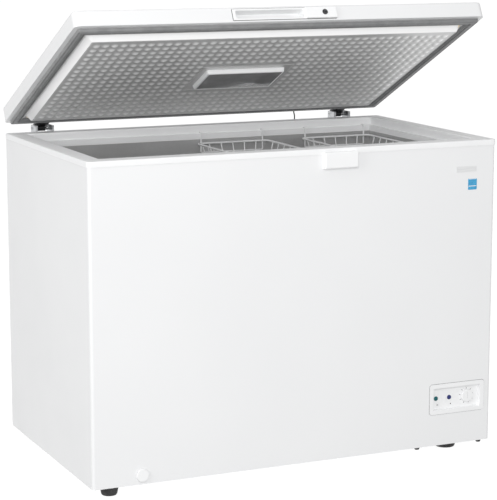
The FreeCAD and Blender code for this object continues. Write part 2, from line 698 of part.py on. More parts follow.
def make_drain():
    """An elbow from the cavity's floor to the front, with a cap outside and a plug inside."""
    collar = rod("drain_collar", "Y", "15", ("drain_x", SKIN_FRONT + " - 1", "drain_z"), "1")
    outer = rod("drain_outer", "Y", "drain_radius", ("drain_x", SKIN_FRONT, "drain_z"),
                "drain_run - rim_overhang")
    ball = doc.addObject("Part::Sphere", "drain_ball")
    ball.setExpression("Radius", bound("drain_radius"))
    set_position(ball, ("drain_x", "%s + drain_run" % FRONT, "drain_z"))
    riser = floor_drain_rod("drain_riser", "drain_radius", "drain_z", "liner_floor - liner_gauge")
    solid = fuse("drain_solid", collar, outer, ball, riser)
    bore = rod("drain_bore_rod", "Y", "drain_bore", ("drain_x", SKIN_FRONT + " - 5", "drain_z"),
               "drain_run - rim_overhang + 5")
    hollow = doc.addObject("Part::Sphere", "drain_hollow")
    hollow.setExpression("Radius", bound("drain_bore"))
    set_position(hollow, ("drain_x", "%s + drain_run" % FRONT, "drain_z"))
    riser_bore = floor_drain_rod("drain_riser_bore", "drain_bore", "drain_z", "liner_floor + 5")
    node(cut("drain_elbow", solid, bore, hollow, riser_bore), "drain_tube")

    face = "(%s - 1 - body_gap)" % SKIN_FRONT
    disc = rod("cap_disc", "Y", "cap_radius", ("drain_x", face + " - 4", "drain_z"), "4")
    cap = round_edges("cap_rounded", disc, "1.5", at_front(face + " - 4"))
    stem = rod("cap_stem", "Y", "drain_bore - body_gap", ("drain_x", face, "drain_z"), "18")
    node(fuse("drain_cap_moulding", cap, stem), "drain_cap")

    low = "(liner_floor + body_gap)"
    place = ("drain_x", "%s + drain_run" % FRONT)
    plate = rod("plug_plate", "Z", "18", place + (low,), "3")
    stopper = rod("plug_stopper", "Z", "drain_bore - body_gap", place + (low + " - 14",), "14")
    tab = box("plug_tab", ("drain_x - 8", "%s + drain_run - 1.5" % FRONT, low + " + 3"),
              ("drain_x + 8", "%s + drain_run + 1.5" % FRONT, low + " + 12"))
    node(fuse("floor_plug_moulding", plate, stopper, tab), "floor_plug")


# ---------------------------------------------------------------------------------------
# Compressor bay
# ---------------------------------------------------------------------------------------

BAY_MID = "(%s + bay_width / 2)" % BAY_LEFT
PUMP_Y = "(%s - 150)" % REAR
PUMP_BASE = "(body_floor + 20)"
PUMP_TOP = "(%s + pump_height)" % PUMP_BASE
DRIER_X = "(%s + 26)" % BAY_LEFT
DRIER_Y = "(%s - 130)" % PUMP_Y
INLET_X = "(%s + 40)" % BAY_LEFT
INLET_Z = "(body_floor + 45)"


def make_compressor():
    """The sealed compressor on its bracket and rubber mounts, and what is piped to it."""
    shell = turned_body("compressor_turned",
                        [("0", "0"), ("pump_radius - 20", "0"), ("pump_radius - 2", "14"),
                         ("pump_radius", "20"), ("pump_radius", "pump_height - 38"),
                         ("pump_radius - 6", "pump_height - 20"),
                         ("pump_radius - 26", "pump_height - 6"),
                         ("pump_radius - 58", "pump_height"), ("0", "pump_height")])
    set_position(shell, (BAY_MID, PUMP_Y, PUMP_BASE))
    node(shell, "compressor_shell")

    plate = box("bracket_plate", (BAY_MID + " - 104", PUMP_Y + " - 62", PUMP_BASE + " - 3"),
                (BAY_MID + " + 104", PUMP_Y + " + 62", PUMP_BASE))
    node(round_edges("bracket_rounded", plate, "12", upright), "compressor_bracket")
    mounts = [rod("grommet", "Z", "11",
                  ("%s + %s" % (BAY_MID, across), "%s + %s" % (PUMP_Y, along), "body_floor + 2"),
                  "%s - 3 - body_floor - 2" % PUMP_BASE)
              for across in ("-mount_across", "mount_across")
              for along in ("-mount_along", "mount_along")]
    node(group("grommet_group", *mounts), "compressor_grommets")

    relay = box("relay_block", (BAY_MID + " - 30", PUMP_Y + " - 104", PUMP_BASE + " + 40"),
                (BAY_MID + " + 30", PUMP_Y + " - 40", PUMP_BASE + " + 110"))
    node(cut("relay_case", relay, shell), "relay_box")

    drier = rod("drier_rod", "Z", "10", (DRIER_X, DRIER_Y, "body_floor + 60"), "110")
    node(round_edges("drier_rounded", drier, "6",
                     lambda edge: isinstance(edge.Curve, Part.Circle)), "filter_drier")

    high, low = PUMP_TOP + " + 32", PUMP_TOP + " + 18"
    intake_x, intake_y = BAY_MID + " - 12", PUMP_Y + " - 190"
    suction = bent_tube("suction_tube",
                        [(intake_x, PUMP_Y, PUMP_TOP), (intake_x, PUMP_Y, high),
                         (intake_x, intake_y, high), (intake_x, intake_y, BAY_TOP)], "4", 15)
    outlet_x = BAY_MID + " + 12"
    discharge = bent_tube("discharge_tube",
                          [(outlet_x, PUMP_Y, PUMP_TOP), (outlet_x, PUMP_Y, low),
                           (outlet_x, DRIER_Y, low), (DRIER_X, DRIER_Y, low),
                           (DRIER_X, DRIER_Y, "body_floor + 170")], "3", 12)
    node(group("pipe_group", suction, discharge), "refrigerant_pipes")


def louvres(name, count, low, high, pitch, axis_low, axis_high, near, far, across):
    """Level slots through a plate, stacked upwards."""
    slots = []
    for index in range(count):
        base = "%s + %d" % (low, pitch * index)
        corner_low = (near, axis_low, base) if across == "X" else (axis_low, near, base)
        corner_high = ((far, axis_high, base + " + " + high) if across == "X"
                       else (axis_high, far, base + " + " + high))
        slots.append(box("%s_%d" % (name, index), corner_low, corner_high))
    return slots


def make_bay_covers():
    """The louvred grille in the right side, the rear cover and the mains inlet bush."""
    plate = box("grille_plate", (SKIN_HALF, GRILLE_FRONT + " - 8", GRILLE_LOW + " - 8"),
                (SKIN_HALF + " + 1.8", GRILLE_BACK + " + 8", GRILLE_HIGH + " + 8"))
    slots = louvres("grille_slot", 9, GRILLE_LOW + " + 6", "6", 14, GRILLE_FRONT + " + 8",
                    GRILLE_BACK + " - 8", SKIN_HALF + " - 5", SKIN_HALF + " + 5", "X")
    node(cut("side_grille_plate", round_edges("grille_rounded", plate, "5",
                                              lambda edge: runs_along(edge, "x")), *slots),
         "side_grille")

    cover = box("cover_plate", (BAY_LEFT + " + 3", SKIN_REAR, "body_floor + 3"),
                (FOAM_HALF + " - 3", SKIN_REAR + " + 1.5", BAY_TOP + " - 3"))
    vents = louvres("cover_slot", 8, "body_floor + 110", "6", 15, BAY_LEFT + " + 40",
                    FOAM_HALF + " - 40", SKIN_REAR + " - 5", SKIN_REAR + " + 5", "Y")
    inlet = rod("cover_inlet", "Y", "9", (INLET_X, SKIN_REAR + " - 5", INLET_Z), "12")
    node(cut("rear_cover_plate", cover, inlet, *vents), "rear_cover")

    bush = rod("bush_body", "Y", "9", (INLET_X, SKIN_REAR + " - 6", INLET_Z), "7.5")
    brim = rod("bush_brim", "Y", "12", (INLET_X, SKIN_REAR + " + 1.5", INLET_Z), "5")
    eye = rod("bush_eye", "Y", "4", (INLET_X, SKIN_REAR + " - 8", INLET_Z), "20")
    node(cut("cable_inlet_bush", fuse("bush_solid", bush, brim), eye), "cable_inlet")


def make_feet():
    """Four tapered feet under the corners."""
    front, rear = FRONT + " + foot_inset", REAR + " - foot_inset"
    for label, x, y, spread in (("front_left", "foot_left_x", front, "0"),
                                ("rear_left", "foot_left_x", rear, "0"),
                                ("front_right", "foot_right_x", front + " + foot_setback",
                                 "foot_spread"),
                                ("rear_right", "foot_right_x", rear, "0")):
        base = "(foot_base_radius + %s)" % spread
        corners = [("0", "0"), (base + " - 2", "0"), (base, "3"),
                   ("foot_top_radius + " + spread, "body_floor"), ("0", "body_floor")]
        foot = turned_body("foot_%s_turned" % label, corners)
        set_position(foot, (x, y, "0"))
        node(foot, "foot_" + label)


# ---------------------------------------------------------------------------------------
# Hinges
# ---------------------------------------------------------------------------------------

BRACKET_SHELF = "(rim_top - rim_height - 1)"


def make_hinge(side, middle):
    """A bracket on the cabinet's back, an arm on the lid's back and the pin through both."""
    half = "hinge_width / 2"
    plate = box("bracket_plate_" + side,
                ("%s - %s" % (middle, half), SKIN_REAR, "rim_top - 100"),
                ("%s + %s" % (middle, half), SKIN_REAR + " + 3", BRACKET_SHELF))
    shelf = box("bracket_shelf_" + side,
                ("%s - %s" % (middle, half), SKIN_REAR, BRACKET_SHELF + " - 4"),
                ("%s + %s" % (middle, half), PIVOT_Y + " + 9", BRACKET_SHELF))
    ears = []
    for start, end in (("-hinge_width / 2", "-hinge_width / 2 + ear_gauge"),
                       ("hinge_width / 2 - ear_gauge", "hinge_width / 2")):
        ears.append(box("bracket_ear_" + side,
                        ("%s + %s" % (middle, start), REAR + " + 3", BRACKET_SHELF + " - 4"),
                        ("%s + %s" % (middle, end), PIVOT_Y + " + 9", PIVOT_Z + " + 9")))
    solid = fuse("bracket_solid_" + side, plate, shelf, *ears)
    pin_hole = rod("bracket_pin_hole_" + side, "X", "pin_radius",
                   (middle + " - 40", PIVOT_Y, PIVOT_Z), "80")
    screw_holes = screw_rods("bracket_screw_hole_" + side, BRACKET_SCREWS, "screw_radius",
                             SKIN_REAR + " - 5", "12", [middle])
    node(cut("hinge_bracket_%s_steel" % side, solid, pin_hole, *screw_holes),
         "hinge_bracket_" + side)

    pin_rod = rod("pin_rod_" + side, "X", "pin_radius",
                  (middle + " - hinge_width / 2 - 3", PIVOT_Y, PIVOT_Z), "hinge_width + 6")
    node(round_edges("hinge_pin_%s_rounded" % side, pin_rod, "1",
                     lambda edge: isinstance(edge.Curve, Part.Circle)), "hinge_pin_" + side)

    knuckle = rod("knuckle_" + side, "X", "knuckle_radius",
                  (middle + " - 10", PIVOT_Y, PIVOT_Z), "20")
    leaf = box("leaf_" + side, (middle + " - arm_width / 2", REAR, LID_BASE + " + 1"),
               (middle + " + arm_width / 2", REAR + " + 3", LID_TOP + " - lid_brow"))
    bridge = box("bridge_" + side, (middle + " - arm_width / 2", REAR, PIVOT_Z + " + 7.6"),
                 (middle + " + arm_width / 2", PIVOT_Y + " + 4", PIVOT_Z + " + 13"))
    rib = box("rib_" + side, (middle + " - 10", REAR, PIVOT_Z + " + 3.5"),
              (middle + " + 10", PIVOT_Y, PIVOT_Z + " + 13"))
    bore = rod("knuckle_bore_" + side, "X", "pin_radius + running_fit",
               (middle + " - 40", PIVOT_Y, PIVOT_Z), "80")
    leaf_holes = screw_rods("leaf_hole_" + side, ARM_SCREWS, "screw_radius", REAR + " - 5",
                            "12", [middle])
    arm = fuse("arm_solid_" + side, knuckle, leaf, bridge, rib)
    node(cut("hinge_arm_%s_steel" % side, arm, bore, *leaf_holes), "hinge_arm_" + side,
         on_lid=True)


def coil_spring(name, start):
    """A close coil round the hinge pin, along +X."""
    length = value("spring_length")
    radius = value("spring_radius")
    path = Part.makeHelix(length / value("spring_turns"), length, radius)
    section = Part.Wire([Part.makeCircle(value("spring_wire"), Vector(radius, 0, 0),
                                         Vector(0, 1, 0))])
    coil = doc.addObject("Part::Feature", name)
    coil.Shape = Part.Wire(path).makePipeShell([section], True, True)
    coil.Placement = Placement(Vector(*(value(text) for text in start)), AXES["X"])
    return coil


def make_hinge_details():
    """The counterbalance springs round the pins and both sets of screws."""
    coils = []
    for side, middle in HINGE_SIDES.items():
        for offset in ("-15", "15"):
            start = ("%s + %s - spring_length / 2" % (middle, offset), PIVOT_Y, PIVOT_Z)
            coils.append(coil_spring("spring_" + side, start))
    node(group("hinge_spring_group", *coils), "hinge_springs")

    for label, places, face, on_lid in (
            ("hinge_screws", BRACKET_SCREWS, SKIN_REAR + " + 3", False),
            ("lid_hinge_screws", ARM_SCREWS, REAR + " + 3", True)):
        heads = screw_rods(label + "_head", places, "4.2", face, "2.2")
        shanks = screw_rods(label + "_shank", places, "screw_radius", face + " - screw_length",
                            "screw_length")
        node(group(label + "_group", *[fuse(label + "_one", head, shank)
                                       for head, shank in zip(heads, shanks)]),
             label, on_lid=on_lid)


# ---------------------------------------------------------------------------------------
# Lid, modelled shut
# ---------------------------------------------------------------------------------------

def module_box(name, inset, near, far, left="grip_left", right="lock_right"):
    return box(name, (left + " + " + inset, near, MODULE_LOW + " + " + inset),
               (right + " - " + inset, far, MODULE_LOW + " + module_height - " + inset))


def make_lid_shell():
    """The painted steel top with its turned-in flange."""
    block = frame_box("lid_block", "0", LID_BASE, LID_TOP)
    corners = round_edges("lid_corners", block, "lid_corner", upright)
    outside = round_edges("lid_outside", corners, "lid_brow", at_height(LID_TOP))
    hollow_block = frame_box("lid_hollow_block", "sheet_gauge", LID_BASE + " + sheet_gauge",
                             LID_TOP + " - sheet_gauge")
    hollow_corners = round_edges("lid_hollow_corners", hollow_block, "lid_corner - sheet_gauge",
                                 upright)
    hollow = round_edges("lid_hollow", hollow_corners, "lid_brow - sheet_gauge",
                         at_height(LID_TOP + " - sheet_gauge"))
    mouth = frame_box("lid_mouth", "flange_width", LID_BASE + " - 5", LID_BASE + " + 5")
    module = module_box("lid_module_hole", "2", FRONT + " - 5", FRONT + " + 5")
    lead = rod("lid_lead_hole", "Y", "lead_radius",
               ("lead_x", REAR + " - 5", LID_BASE + " + lead_rise"), "10")
    holes = screw_rods("lid_shell_hole", ARM_SCREWS, "screw_radius", REAR + " - 10", "20")
    node(cut("lid_shell_steel", outside, hollow, mouth, module, lead, *holes), "lid_shell",
         on_lid=True)


def make_lid_liner():
    """The embossed pan under the lid, whose raised plug enters the cavity's mouth."""
    plate = frame_box("pan_plate", "(gasket_inset - 1)", LID_BASE + " - plug_skin", LID_BASE)
    outside = funnel("pan_outside", "plug_inset", "plug_slope", LID_BASE, "plug_depth")
    inside = funnel("pan_inside", "(plug_inset + plug_skin)", "plug_slope", LID_BASE,
                    "plug_depth - plug_skin")
    node(cut("lid_liner_pan", fuse("pan_solid", plate, outside), inside), "lid_liner",
         on_lid=True)


def make_lid_foam():
    """Insulation that fills the shell and the plug."""
    fill_block = frame_box("fill_block", "sheet_gauge", LID_BASE + " + sheet_gauge",
                           LID_TOP + " - sheet_gauge")
    fill_corners = round_edges("fill_corners", fill_block, "lid_corner - sheet_gauge", upright)
    fill = round_edges("fill_rounded", fill_corners, "lid_brow - sheet_gauge",
                       at_height(LID_TOP + " - sheet_gauge"))
    gap = frame_box("fill_gap", "flange_width", LID_BASE, LID_BASE + " + sheet_gauge")
    plug = funnel("fill_plug", "(plug_inset + plug_skin)", "plug_slope", LID_BASE,
                  "plug_depth - plug_skin")
    module = module_box("fill_module", "2", FRONT, FRONT + " + grip_depth + 2")
    lead = rod("fill_lead", "Y", "lead_radius",
               ("lead_x", REAR + " - 12", LID_BASE + " + lead_rise"), "20")
    holes = screw_rods("fill_hole", ARM_SCREWS, "screw_radius", REAR + " - 10", "20")
    node(cut("lid_foam_fill", fuse("fill_solid", fill, gap, plug), module, lead, *holes),
         "lid_foam", on_lid=True)


def make_lid_gasket():
    """The magnetic seal round the plug."""
    outer = frame_box("gasket_outer", "gasket_inset", "rim_top + body_gap",
                      LID_BASE + " - plug_skin")
    rounded = round_edges("gasket_rounded", outer, "6", upright)
    inner = frame_box("gasket_inner", "(gasket_inset + gasket_width)", "0", LID_TOP)
    node(cut("lid_gasket_profile", rounded, inner), "lid_gasket", on_lid=True)


def lamp_box(name, inset, low, high):
    middle = "(%s + lamp_centre_y)" % FRONT
    return box(name, ("lamp_centre_x - lamp_width / 2 + " + inset,
                      middle + " - lamp_depth / 2 + " + inset, low),
               ("lamp_centre_x + lamp_width / 2 - " + inset,
                middle + " + lamp_depth / 2 - " + inset, high))


def make_lamp():
    """A light in the plug: a frame, a clear cover and the strip of light sources above it."""
    low = "(%s - lamp_drop)" % PLUG_FACE
    block = lamp_box("lamp_block", "0", low, PLUG_FACE)
    rounded = round_edges("lamp_rounded", block, "4", upright)
    bevel = round_edges("lamp_bevel", rounded, "2", at_height(low))
    window = lamp_box("lamp_window", "lamp_wall", low + " - 5", PLUG_FACE + " + 5")
    node(cut("lamp_housing_frame", bevel, window), "lamp_housing", on_lid=True)
    cover = lamp_box("lamp_cover", "lamp_wall", low + " + 0.5", low + " + 2.5")
    node(round_edges("lamp_lens_cover", cover, "0.5", upright), "lamp_lens", on_lid=True)
    board = lamp_box("lamp_board_blank", "22", PLUG_FACE + " - 1.6", PLUG_FACE)
    node(round_edges("lamp_board_cut", board, "2", upright), "lamp_board", on_lid=True)


def make_handle():
    """The finger recess let into the lid's front edge."""
    face = FRONT + " - 1.5"
    back = FRONT + " + grip_depth + 2"
    flange = module_box("handle_flange", "0", face, FRONT, right="grip_right")
    tray = box("handle_tray", ("grip_left + 2", FRONT, MODULE_LOW + " + 2"),
               ("grip_right", back, MODULE_LOW + " + module_height - 2"))
    pocket_box = box("handle_pocket_box",
                     ("grip_left + 8", face + " - 2", MODULE_LOW + " + 4"),
                     ("grip_right - 5", FRONT + " + grip_depth",
                      MODULE_LOW + " + module_height - 4"))
    pocket = round_edges("handle_pocket", pocket_box, "5", along_y)
    node(cut("handle_recess_moulding", fuse("handle_solid", flange, tray), pocket),
         "handle_recess", on_lid=True)


def make_lock():
    """The lock plate beside the handle, its key barrel and the hook that the key turns."""
    face = "(%s - lock_proud)" % FRONT
    plate = module_box("lock_block", "0", face, FRONT, left="grip_right")
    rounded = round_edges("lock_rounded", plate, "1.5", at_front(face))
    case = box("lock_case", ("grip_right", FRONT, MODULE_LOW + " + 2"),
               ("lock_right - 2", FRONT + " + 14", MODULE_LOW + " + module_height - 2"))
    chamber = box("lock_chamber",
                  ("key_x - hook_reach - 2", FRONT + " - 5", MODULE_LOW + " - 5"),
                  ("key_x + 9", FRONT + " - 2", KEY_Z + " + 8"))
    bore = rod("lock_bore", "Y", "key_radius + running_fit", ("key_x", face + " - 5", KEY_Z),
               "lock_proud + 1")
    seat = rod("lock_seat", "Y", "spindle_radius + running_fit",
               ("key_x", FRONT + " - 5", KEY_Z), "17")
    node(cut("lock_plate_moulding", fuse("lock_solid", rounded, case), chamber, bore, seat),
         "lock_plate", on_lid=True)

    drum = rod("barrel_drum", "Y", "key_radius", ("key_x", face + " - 1.5", KEY_Z), "4")
    spindle = rod("barrel_spindle", "Y", "spindle_radius", ("key_x", FRONT + " - 5", KEY_Z),
                  "15")
    keyway = box("barrel_keyway", ("key_x - 3.5", face + " - 2", KEY_Z + " - 0.6"),
                 ("key_x + 3.5", face + " + 1", KEY_Z + " + 0.6"))
    node(cut("key_barrel_steel", fuse("barrel_solid", drum, spindle), keyway), "key_barrel",
         on_lid=True)

    bar = box("hook_bar", ("key_x - hook_reach", FRONT + " - 4.5", KEY_Z + " - 4.5"),
              ("key_x", FRONT + " - 2.5", KEY_Z + " + 4.5"))
    boss = rod("hook_boss", "Y", "7", ("key_x", FRONT + " - 4.5", KEY_Z), "2")
    eye = rod("hook_eye", "Y", "spindle_radius", ("key_x", FRONT + " - 10", KEY_Z), "20")
    node(cut("lock_hook_steel", fuse("hook_solid", bar, boss), eye), "lock_hook", on_lid=True)


def make_lamp_lead():
    """The lamp's lead, which leaves the back panel and enters the lid beside the hinge axis."""
    lower = bent_tube("lead_lower",
                      [("lead_x", FOAM_REAR + " - 8", "rim_top - lead_drop"),
                       ("lead_x", PIVOT_Y, "rim_top - lead_drop"),
                       ("lead_x", PIVOT_Y, PIVOT_Z + " - 2.6")], "lead_radius", 16)
    node(lower, "lamp_lead_lower")
    upper = bent_tube("lead_upper",
                      [("lead_x", PIVOT_Y, PIVOT_Z + " + 2.6"),
                       ("lead_x", PIVOT_Y, LID_BASE + " + lead_rise"),
                       ("lead_x", REAR + " - 10", LID_BASE + " + lead_rise")], "lead_radius", 10)
    node(upper, "lamp_lead_upper", on_lid=True)


# ---------------------------------------------------------------------------------------
# Baskets
# ---------------------------------------------------------------------------------------

def make_basket(side, centre):
    """A tapered open basket and the bent wires that hang it on the ledge."""
    rim_z = "(rim_top - basket_drop)"
    ends = {"half": "(basket_width / 2)", "front": "(%s - basket_depth / 2)" % MIDDLE_Y,
            "rear": "(%s + basket_depth / 2)" % MIDDLE_Y, "centre": centre}
    outside = funnel("basket_outside_" + side, "0", "basket_taper", rim_z, "basket_height", **ends)
    inside = funnel("basket_inside_" + side, "basket_skin", "basket_taper", rim_z,
                    "basket_height - basket_skin", **ends)
    hem_out = box("basket_hem_out_" + side,
                  (centre + " - basket_width / 2", MIDDLE_Y + " - basket_depth / 2",
                   rim_z + " - basket_hem"),
                  (centre + " + basket_width / 2", MIDDLE_Y + " + basket_depth / 2", rim_z))
    solid = fuse("basket_solid_" + side, outside, hem_out)
    hem_in = box("basket_hem_in_" + side,
                 (centre + " - basket_width / 2 + basket_hem",
                  MIDDLE_Y + " - basket_depth / 2 + basket_hem", rim_z + " - basket_hem - 0.5"),
                 (centre + " + basket_width / 2 - basket_hem",
                  MIDDLE_Y + " + basket_depth / 2 - basket_hem", rim_z + " + 1"))
    node(cut("basket_%s_mesh" % side, solid, inside, hem_in), "basket_" + side)

    wires = []
    hook_z = LEDGE + " + body_gap + wire_radius"
    bar_z = "(%s - hanger_drop)" % rim_z
    for end in ("-", "+"):
        wall = "(%s %s (basket_depth / 2 + wire_radius))" % (MIDDLE_Y, end)
        far = "(%s %s (basket_depth / 2 + wire_radius + hanger_hook))" % (MIDDLE_Y, end)
        points = [(centre + " - hanger_width / 2", far, hook_z),
                  (centre + " - hanger_width / 2", wall, hook_z),
                  (centre + " - hanger_width / 2", wall, bar_z),
                  (centre + " + hanger_width / 2", wall, bar_z),
                  (centre + " + hanger_width / 2", wall, hook_z),
                  (centre + " + hanger_width / 2", far, hook_z)]
        wires.append(bent_tube("hanger_" + side, points, "wire_radius", 4))
    node(group("hanger_group_" + side, *wires), "basket_%s_hangers" % side)


# ---------------------------------------------------------------------------------------
# Build, check and export
# ---------------------------------------------------------------------------------------

evaporator, condenser = make_coils()
make_outer_wrap()
make_back_panel()
make_base_pan()
make_compressor_tray()
make_liner_and_foam()
make_rim_frame()
make_breaker_strip()
make_lock_catch()
make_plates()
make_control_panel()
make_drain()
make_compressor()
make_bay_covers()
make_feet()
for hinge_side, hinge_middle in HINGE_SIDES.items():
    make_hinge(hinge_side, hinge_middle)
make_hinge_details()
make_lid_shell()
make_lid_liner()
make_lid_foam()
make_lid_gasket()
make_lamp()
make_handle()
make_lock()
make_lamp_lead()
make_basket("left", "basket_left_x")
make_basket("right", "basket_right_x")
doc.recompute()

pivot = Vector(0, value(PIVOT_Y), value(PIVOT_Z))
swing = Placement(Vector(), Rotation(Vector(1, 0, 0), -value("lid_open_angle")), pivot)
for thing in lid_nodes:
    thing.Placement = swing.multiply(thing.Placement)
doc.recompute()

for thing in doc.Objects:
    if {"Invalid", "Error"} & set(thing.State):
        raise RuntimeError("%s did not build: %s" % (thing.Name, thing.State))
for thing in nodes:
    if thing.Shape.isNull() or not thing.Shape.isValid() or not thing.Shape.Solids:
        raise RuntimeError("%s has no valid solid" % thing.Label)

os.makedirs("parts", exist_ok=True)
whole = FreeCAD.BoundBox()
for thing in nodes:
    thing.Shape.exportStep("parts/%s.step" % thing.Label)
    whole.add(thing.Shape.BoundBox)
print("%d pieces, box %s" % (len(nodes), whole))
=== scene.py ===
import json
import math

import bmesh
import bpy
from mathutils import Matrix, Vector


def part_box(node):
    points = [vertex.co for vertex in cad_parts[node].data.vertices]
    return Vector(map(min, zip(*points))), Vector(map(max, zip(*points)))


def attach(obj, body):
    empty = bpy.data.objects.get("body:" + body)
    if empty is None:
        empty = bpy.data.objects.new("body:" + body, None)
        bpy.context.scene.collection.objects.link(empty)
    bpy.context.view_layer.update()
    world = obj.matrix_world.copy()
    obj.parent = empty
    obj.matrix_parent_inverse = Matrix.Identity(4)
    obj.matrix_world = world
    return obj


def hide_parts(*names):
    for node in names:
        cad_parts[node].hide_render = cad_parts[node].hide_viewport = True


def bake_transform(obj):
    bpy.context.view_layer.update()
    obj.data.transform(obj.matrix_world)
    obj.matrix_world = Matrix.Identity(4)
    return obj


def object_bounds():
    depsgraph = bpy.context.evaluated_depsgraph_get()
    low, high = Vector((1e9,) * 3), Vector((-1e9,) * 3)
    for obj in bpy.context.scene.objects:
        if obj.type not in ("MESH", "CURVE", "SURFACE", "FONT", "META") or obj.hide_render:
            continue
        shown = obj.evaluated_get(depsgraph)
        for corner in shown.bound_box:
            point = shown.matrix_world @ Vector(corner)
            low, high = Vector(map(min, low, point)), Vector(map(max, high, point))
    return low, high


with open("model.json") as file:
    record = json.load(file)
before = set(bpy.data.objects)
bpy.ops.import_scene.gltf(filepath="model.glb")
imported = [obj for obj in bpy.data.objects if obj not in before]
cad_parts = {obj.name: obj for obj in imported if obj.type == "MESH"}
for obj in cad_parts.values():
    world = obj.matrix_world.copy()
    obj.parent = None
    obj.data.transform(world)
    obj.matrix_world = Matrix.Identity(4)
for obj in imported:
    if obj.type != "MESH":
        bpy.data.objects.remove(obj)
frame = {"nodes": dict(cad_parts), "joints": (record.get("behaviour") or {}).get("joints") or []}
cad_low, cad_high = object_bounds()
nodes = frame["nodes"]
joints = {joint["name"]: joint for joint in frame["joints"]}
scene = bpy.context.scene

MM = 0.001
WELD = 0.002 * MM             # mesh points closer than this are one
LEAST_CORNER = 0.3 * MM
LEAST_RADIUS = 0.02 * MM      # where a turned shape meets its axis

# ---------------------------------------------------------------------------------------
# The lid rests open. Its pieces are built shut, then turned with it about the hinge.
# ---------------------------------------------------------------------------------------

hinge = joints["lid_hinge"]
PIVOT = Vector(hinge["pos_m"])
OPENING = (Matrix.Translation(PIVOT)
           @ Matrix.Rotation(math.radians(hinge["range_deg"][0]), 4, "X")
           @ Matrix.Translation(-PIVOT))


def shut_box(node):
    """A lid node's lowest and highest corners with the lid shut."""
    back = OPENING.inverted()
    places = [back @ vertex.co for vertex in nodes[node].data.vertices]
    return (Vector(tuple(min(place[i] for place in places) for i in range(3))),
            Vector(tuple(max(place[i] for place in places) for i in range(3))))


# ---------------------------------------------------------------------------------------
# Materials
# ---------------------------------------------------------------------------------------

NOISE_LOW, NOISE_HIGH = 0.3, 0.7    # nearly all of a noise texture's values


class Shader:
    """A Principled material that is built up from texture nodes in object space."""

    def __init__(self, name, roughness=0.4, metallic=0.0, **constants):
        self.material = bpy.data.materials.new(name)
        self.material.use_nodes = True
        self.tree = self.material.node_tree
        self.principled = self.tree.nodes["Principled BSDF"]
        self.principled.inputs["Roughness"].default_value = roughness
        self.principled.inputs["Metallic"].default_value = metallic
        for socket, number in constants.items():
            self.principled.inputs[socket.replace("_", " ")].default_value = number
        self.place = self.tree.nodes.new("ShaderNodeTexCoord").outputs["Object"]
        self.height = None

    def node(self, kind, **settings):
        made = self.tree.nodes.new("ShaderNode" + kind)
        for key, setting in settings.items():
            setattr(made, key, setting)
        return made

    def link(self, source, target):
        self.tree.links.new(source, target)

    def stretched(self, factors):
        mapping = self.node("Mapping")
        mapping.inputs["Scale"].default_value = factors
        self.link(self.place, mapping.inputs["Vector"])
        return mapping.outputs["Vector"]

    def noise(self, scale, detail=3.0, stretch=None):
        texture = self.node("TexNoise")
        texture.inputs["Scale"].default_value = scale
        texture.inputs["Detail"].default_value = detail
        self.link(self.stretched(stretch) if stretch else self.place,
                  texture.inputs["Vector"])
        return texture.outputs["Fac"]

    def cells(self, scale, feature="F1", output="Distance"):
        texture = self.node("TexVoronoi", feature=feature)
        texture.inputs["Scale"].default_value = scale
        self.link(self.place, texture.inputs["Vector"])
        return texture.outputs[output]

    def colour(self, source, first, second, start=NOISE_LOW, end=NOISE_HIGH):
        ramp = self.node("ValToRGB")
        ramp.color_ramp.elements[0].position = start
        ramp.color_ramp.elements[1].position = end
        ramp.color_ramp.elements[0].color = (*first, 1.0)
        ramp.color_ramp.elements[1].color = (*second, 1.0)
        self.link(source, ramp.inputs["Fac"])
        self.link(ramp.outputs["Color"], self.principled.inputs["Base Color"])
        return self

    def rough(self, source, low, high):
        shift = self.node("MapRange")
        self.link(source, shift.inputs["Value"])
        for socket, number in (("From Min", NOISE_LOW), ("From Max", NOISE_HIGH),
                               ("To Min", low), ("To Max", high)):
            shift.inputs[socket].default_value = number
        self.link(shift.outputs["Result"], self.principled.inputs["Roughness"])
        return self

    def relief(self, source, depth, strength):
        bump = self.node("Bump")
        bump.inputs["Strength"].default_value = strength
        bump.inputs["Distance"].default_value = depth
        self.link(source, bump.inputs["Height"])
        if self.height is not None:
            self.link(self.height, bump.inputs["Normal"])
        self.height = bump.outputs["Normal"]
        self.link(self.height, self.principled.inputs["Normal"])
        return self


def enamel():
    """Baked white enamel on sheet steel, with a faint orange peel."""
    shader = Shader("white_enamel", Coat_Weight=0.35, Coat_Roughness=0.12)
    shader.colour(shader.noise(2.2, 2.0), (0.86, 0.865, 0.872), (0.885, 0.89, 0.895))
    shader.rough(shader.noise(14.0, 4.0), 0.34, 0.46)
    shader.relief(shader.noise(420.0, 1.0), 0.12 * MM, 0.25)
    return shader.relief(shader.noise(3.0, 1.0), 1.2 * MM, 0.10).material


def back_enamel():
    """Thin grey-white paint of the back panel."""
    shader = Shader("back_enamel")
    shader.colour(shader.noise(5.0), (0.70, 0.71, 0.72), (0.76, 0.77, 0.78))
    shader.rough(shader.noise(40.0, 4.0), 0.42, 0.58)
    return shader.relief(shader.noise(500.0, 1.0), 0.15 * MM, 0.3).material


def zinc():
    """Galvanised sheet with its spangle."""
    shader = Shader("zinc_spangle", metallic=1.0)
    shader.colour(shader.cells(85.0, output="Color"), (0.50, 0.51, 0.53), (0.70, 0.71, 0.72),
                  0.2, 0.8)
    shader.rough(shader.cells(85.0, output="Color"), 0.28, 0.5)
    return shader.relief(shader.noise(260.0, 3.0), 0.08 * MM, 0.4).material


def foam():
    shader = Shader("rigid_foam", roughness=0.95)
    shader.colour(shader.noise(60.0, 5.0), (0.80, 0.68, 0.42), (0.90, 0.80, 0.56))
    return shader.relief(shader.cells(700.0), 0.5 * MM, 0.7).material


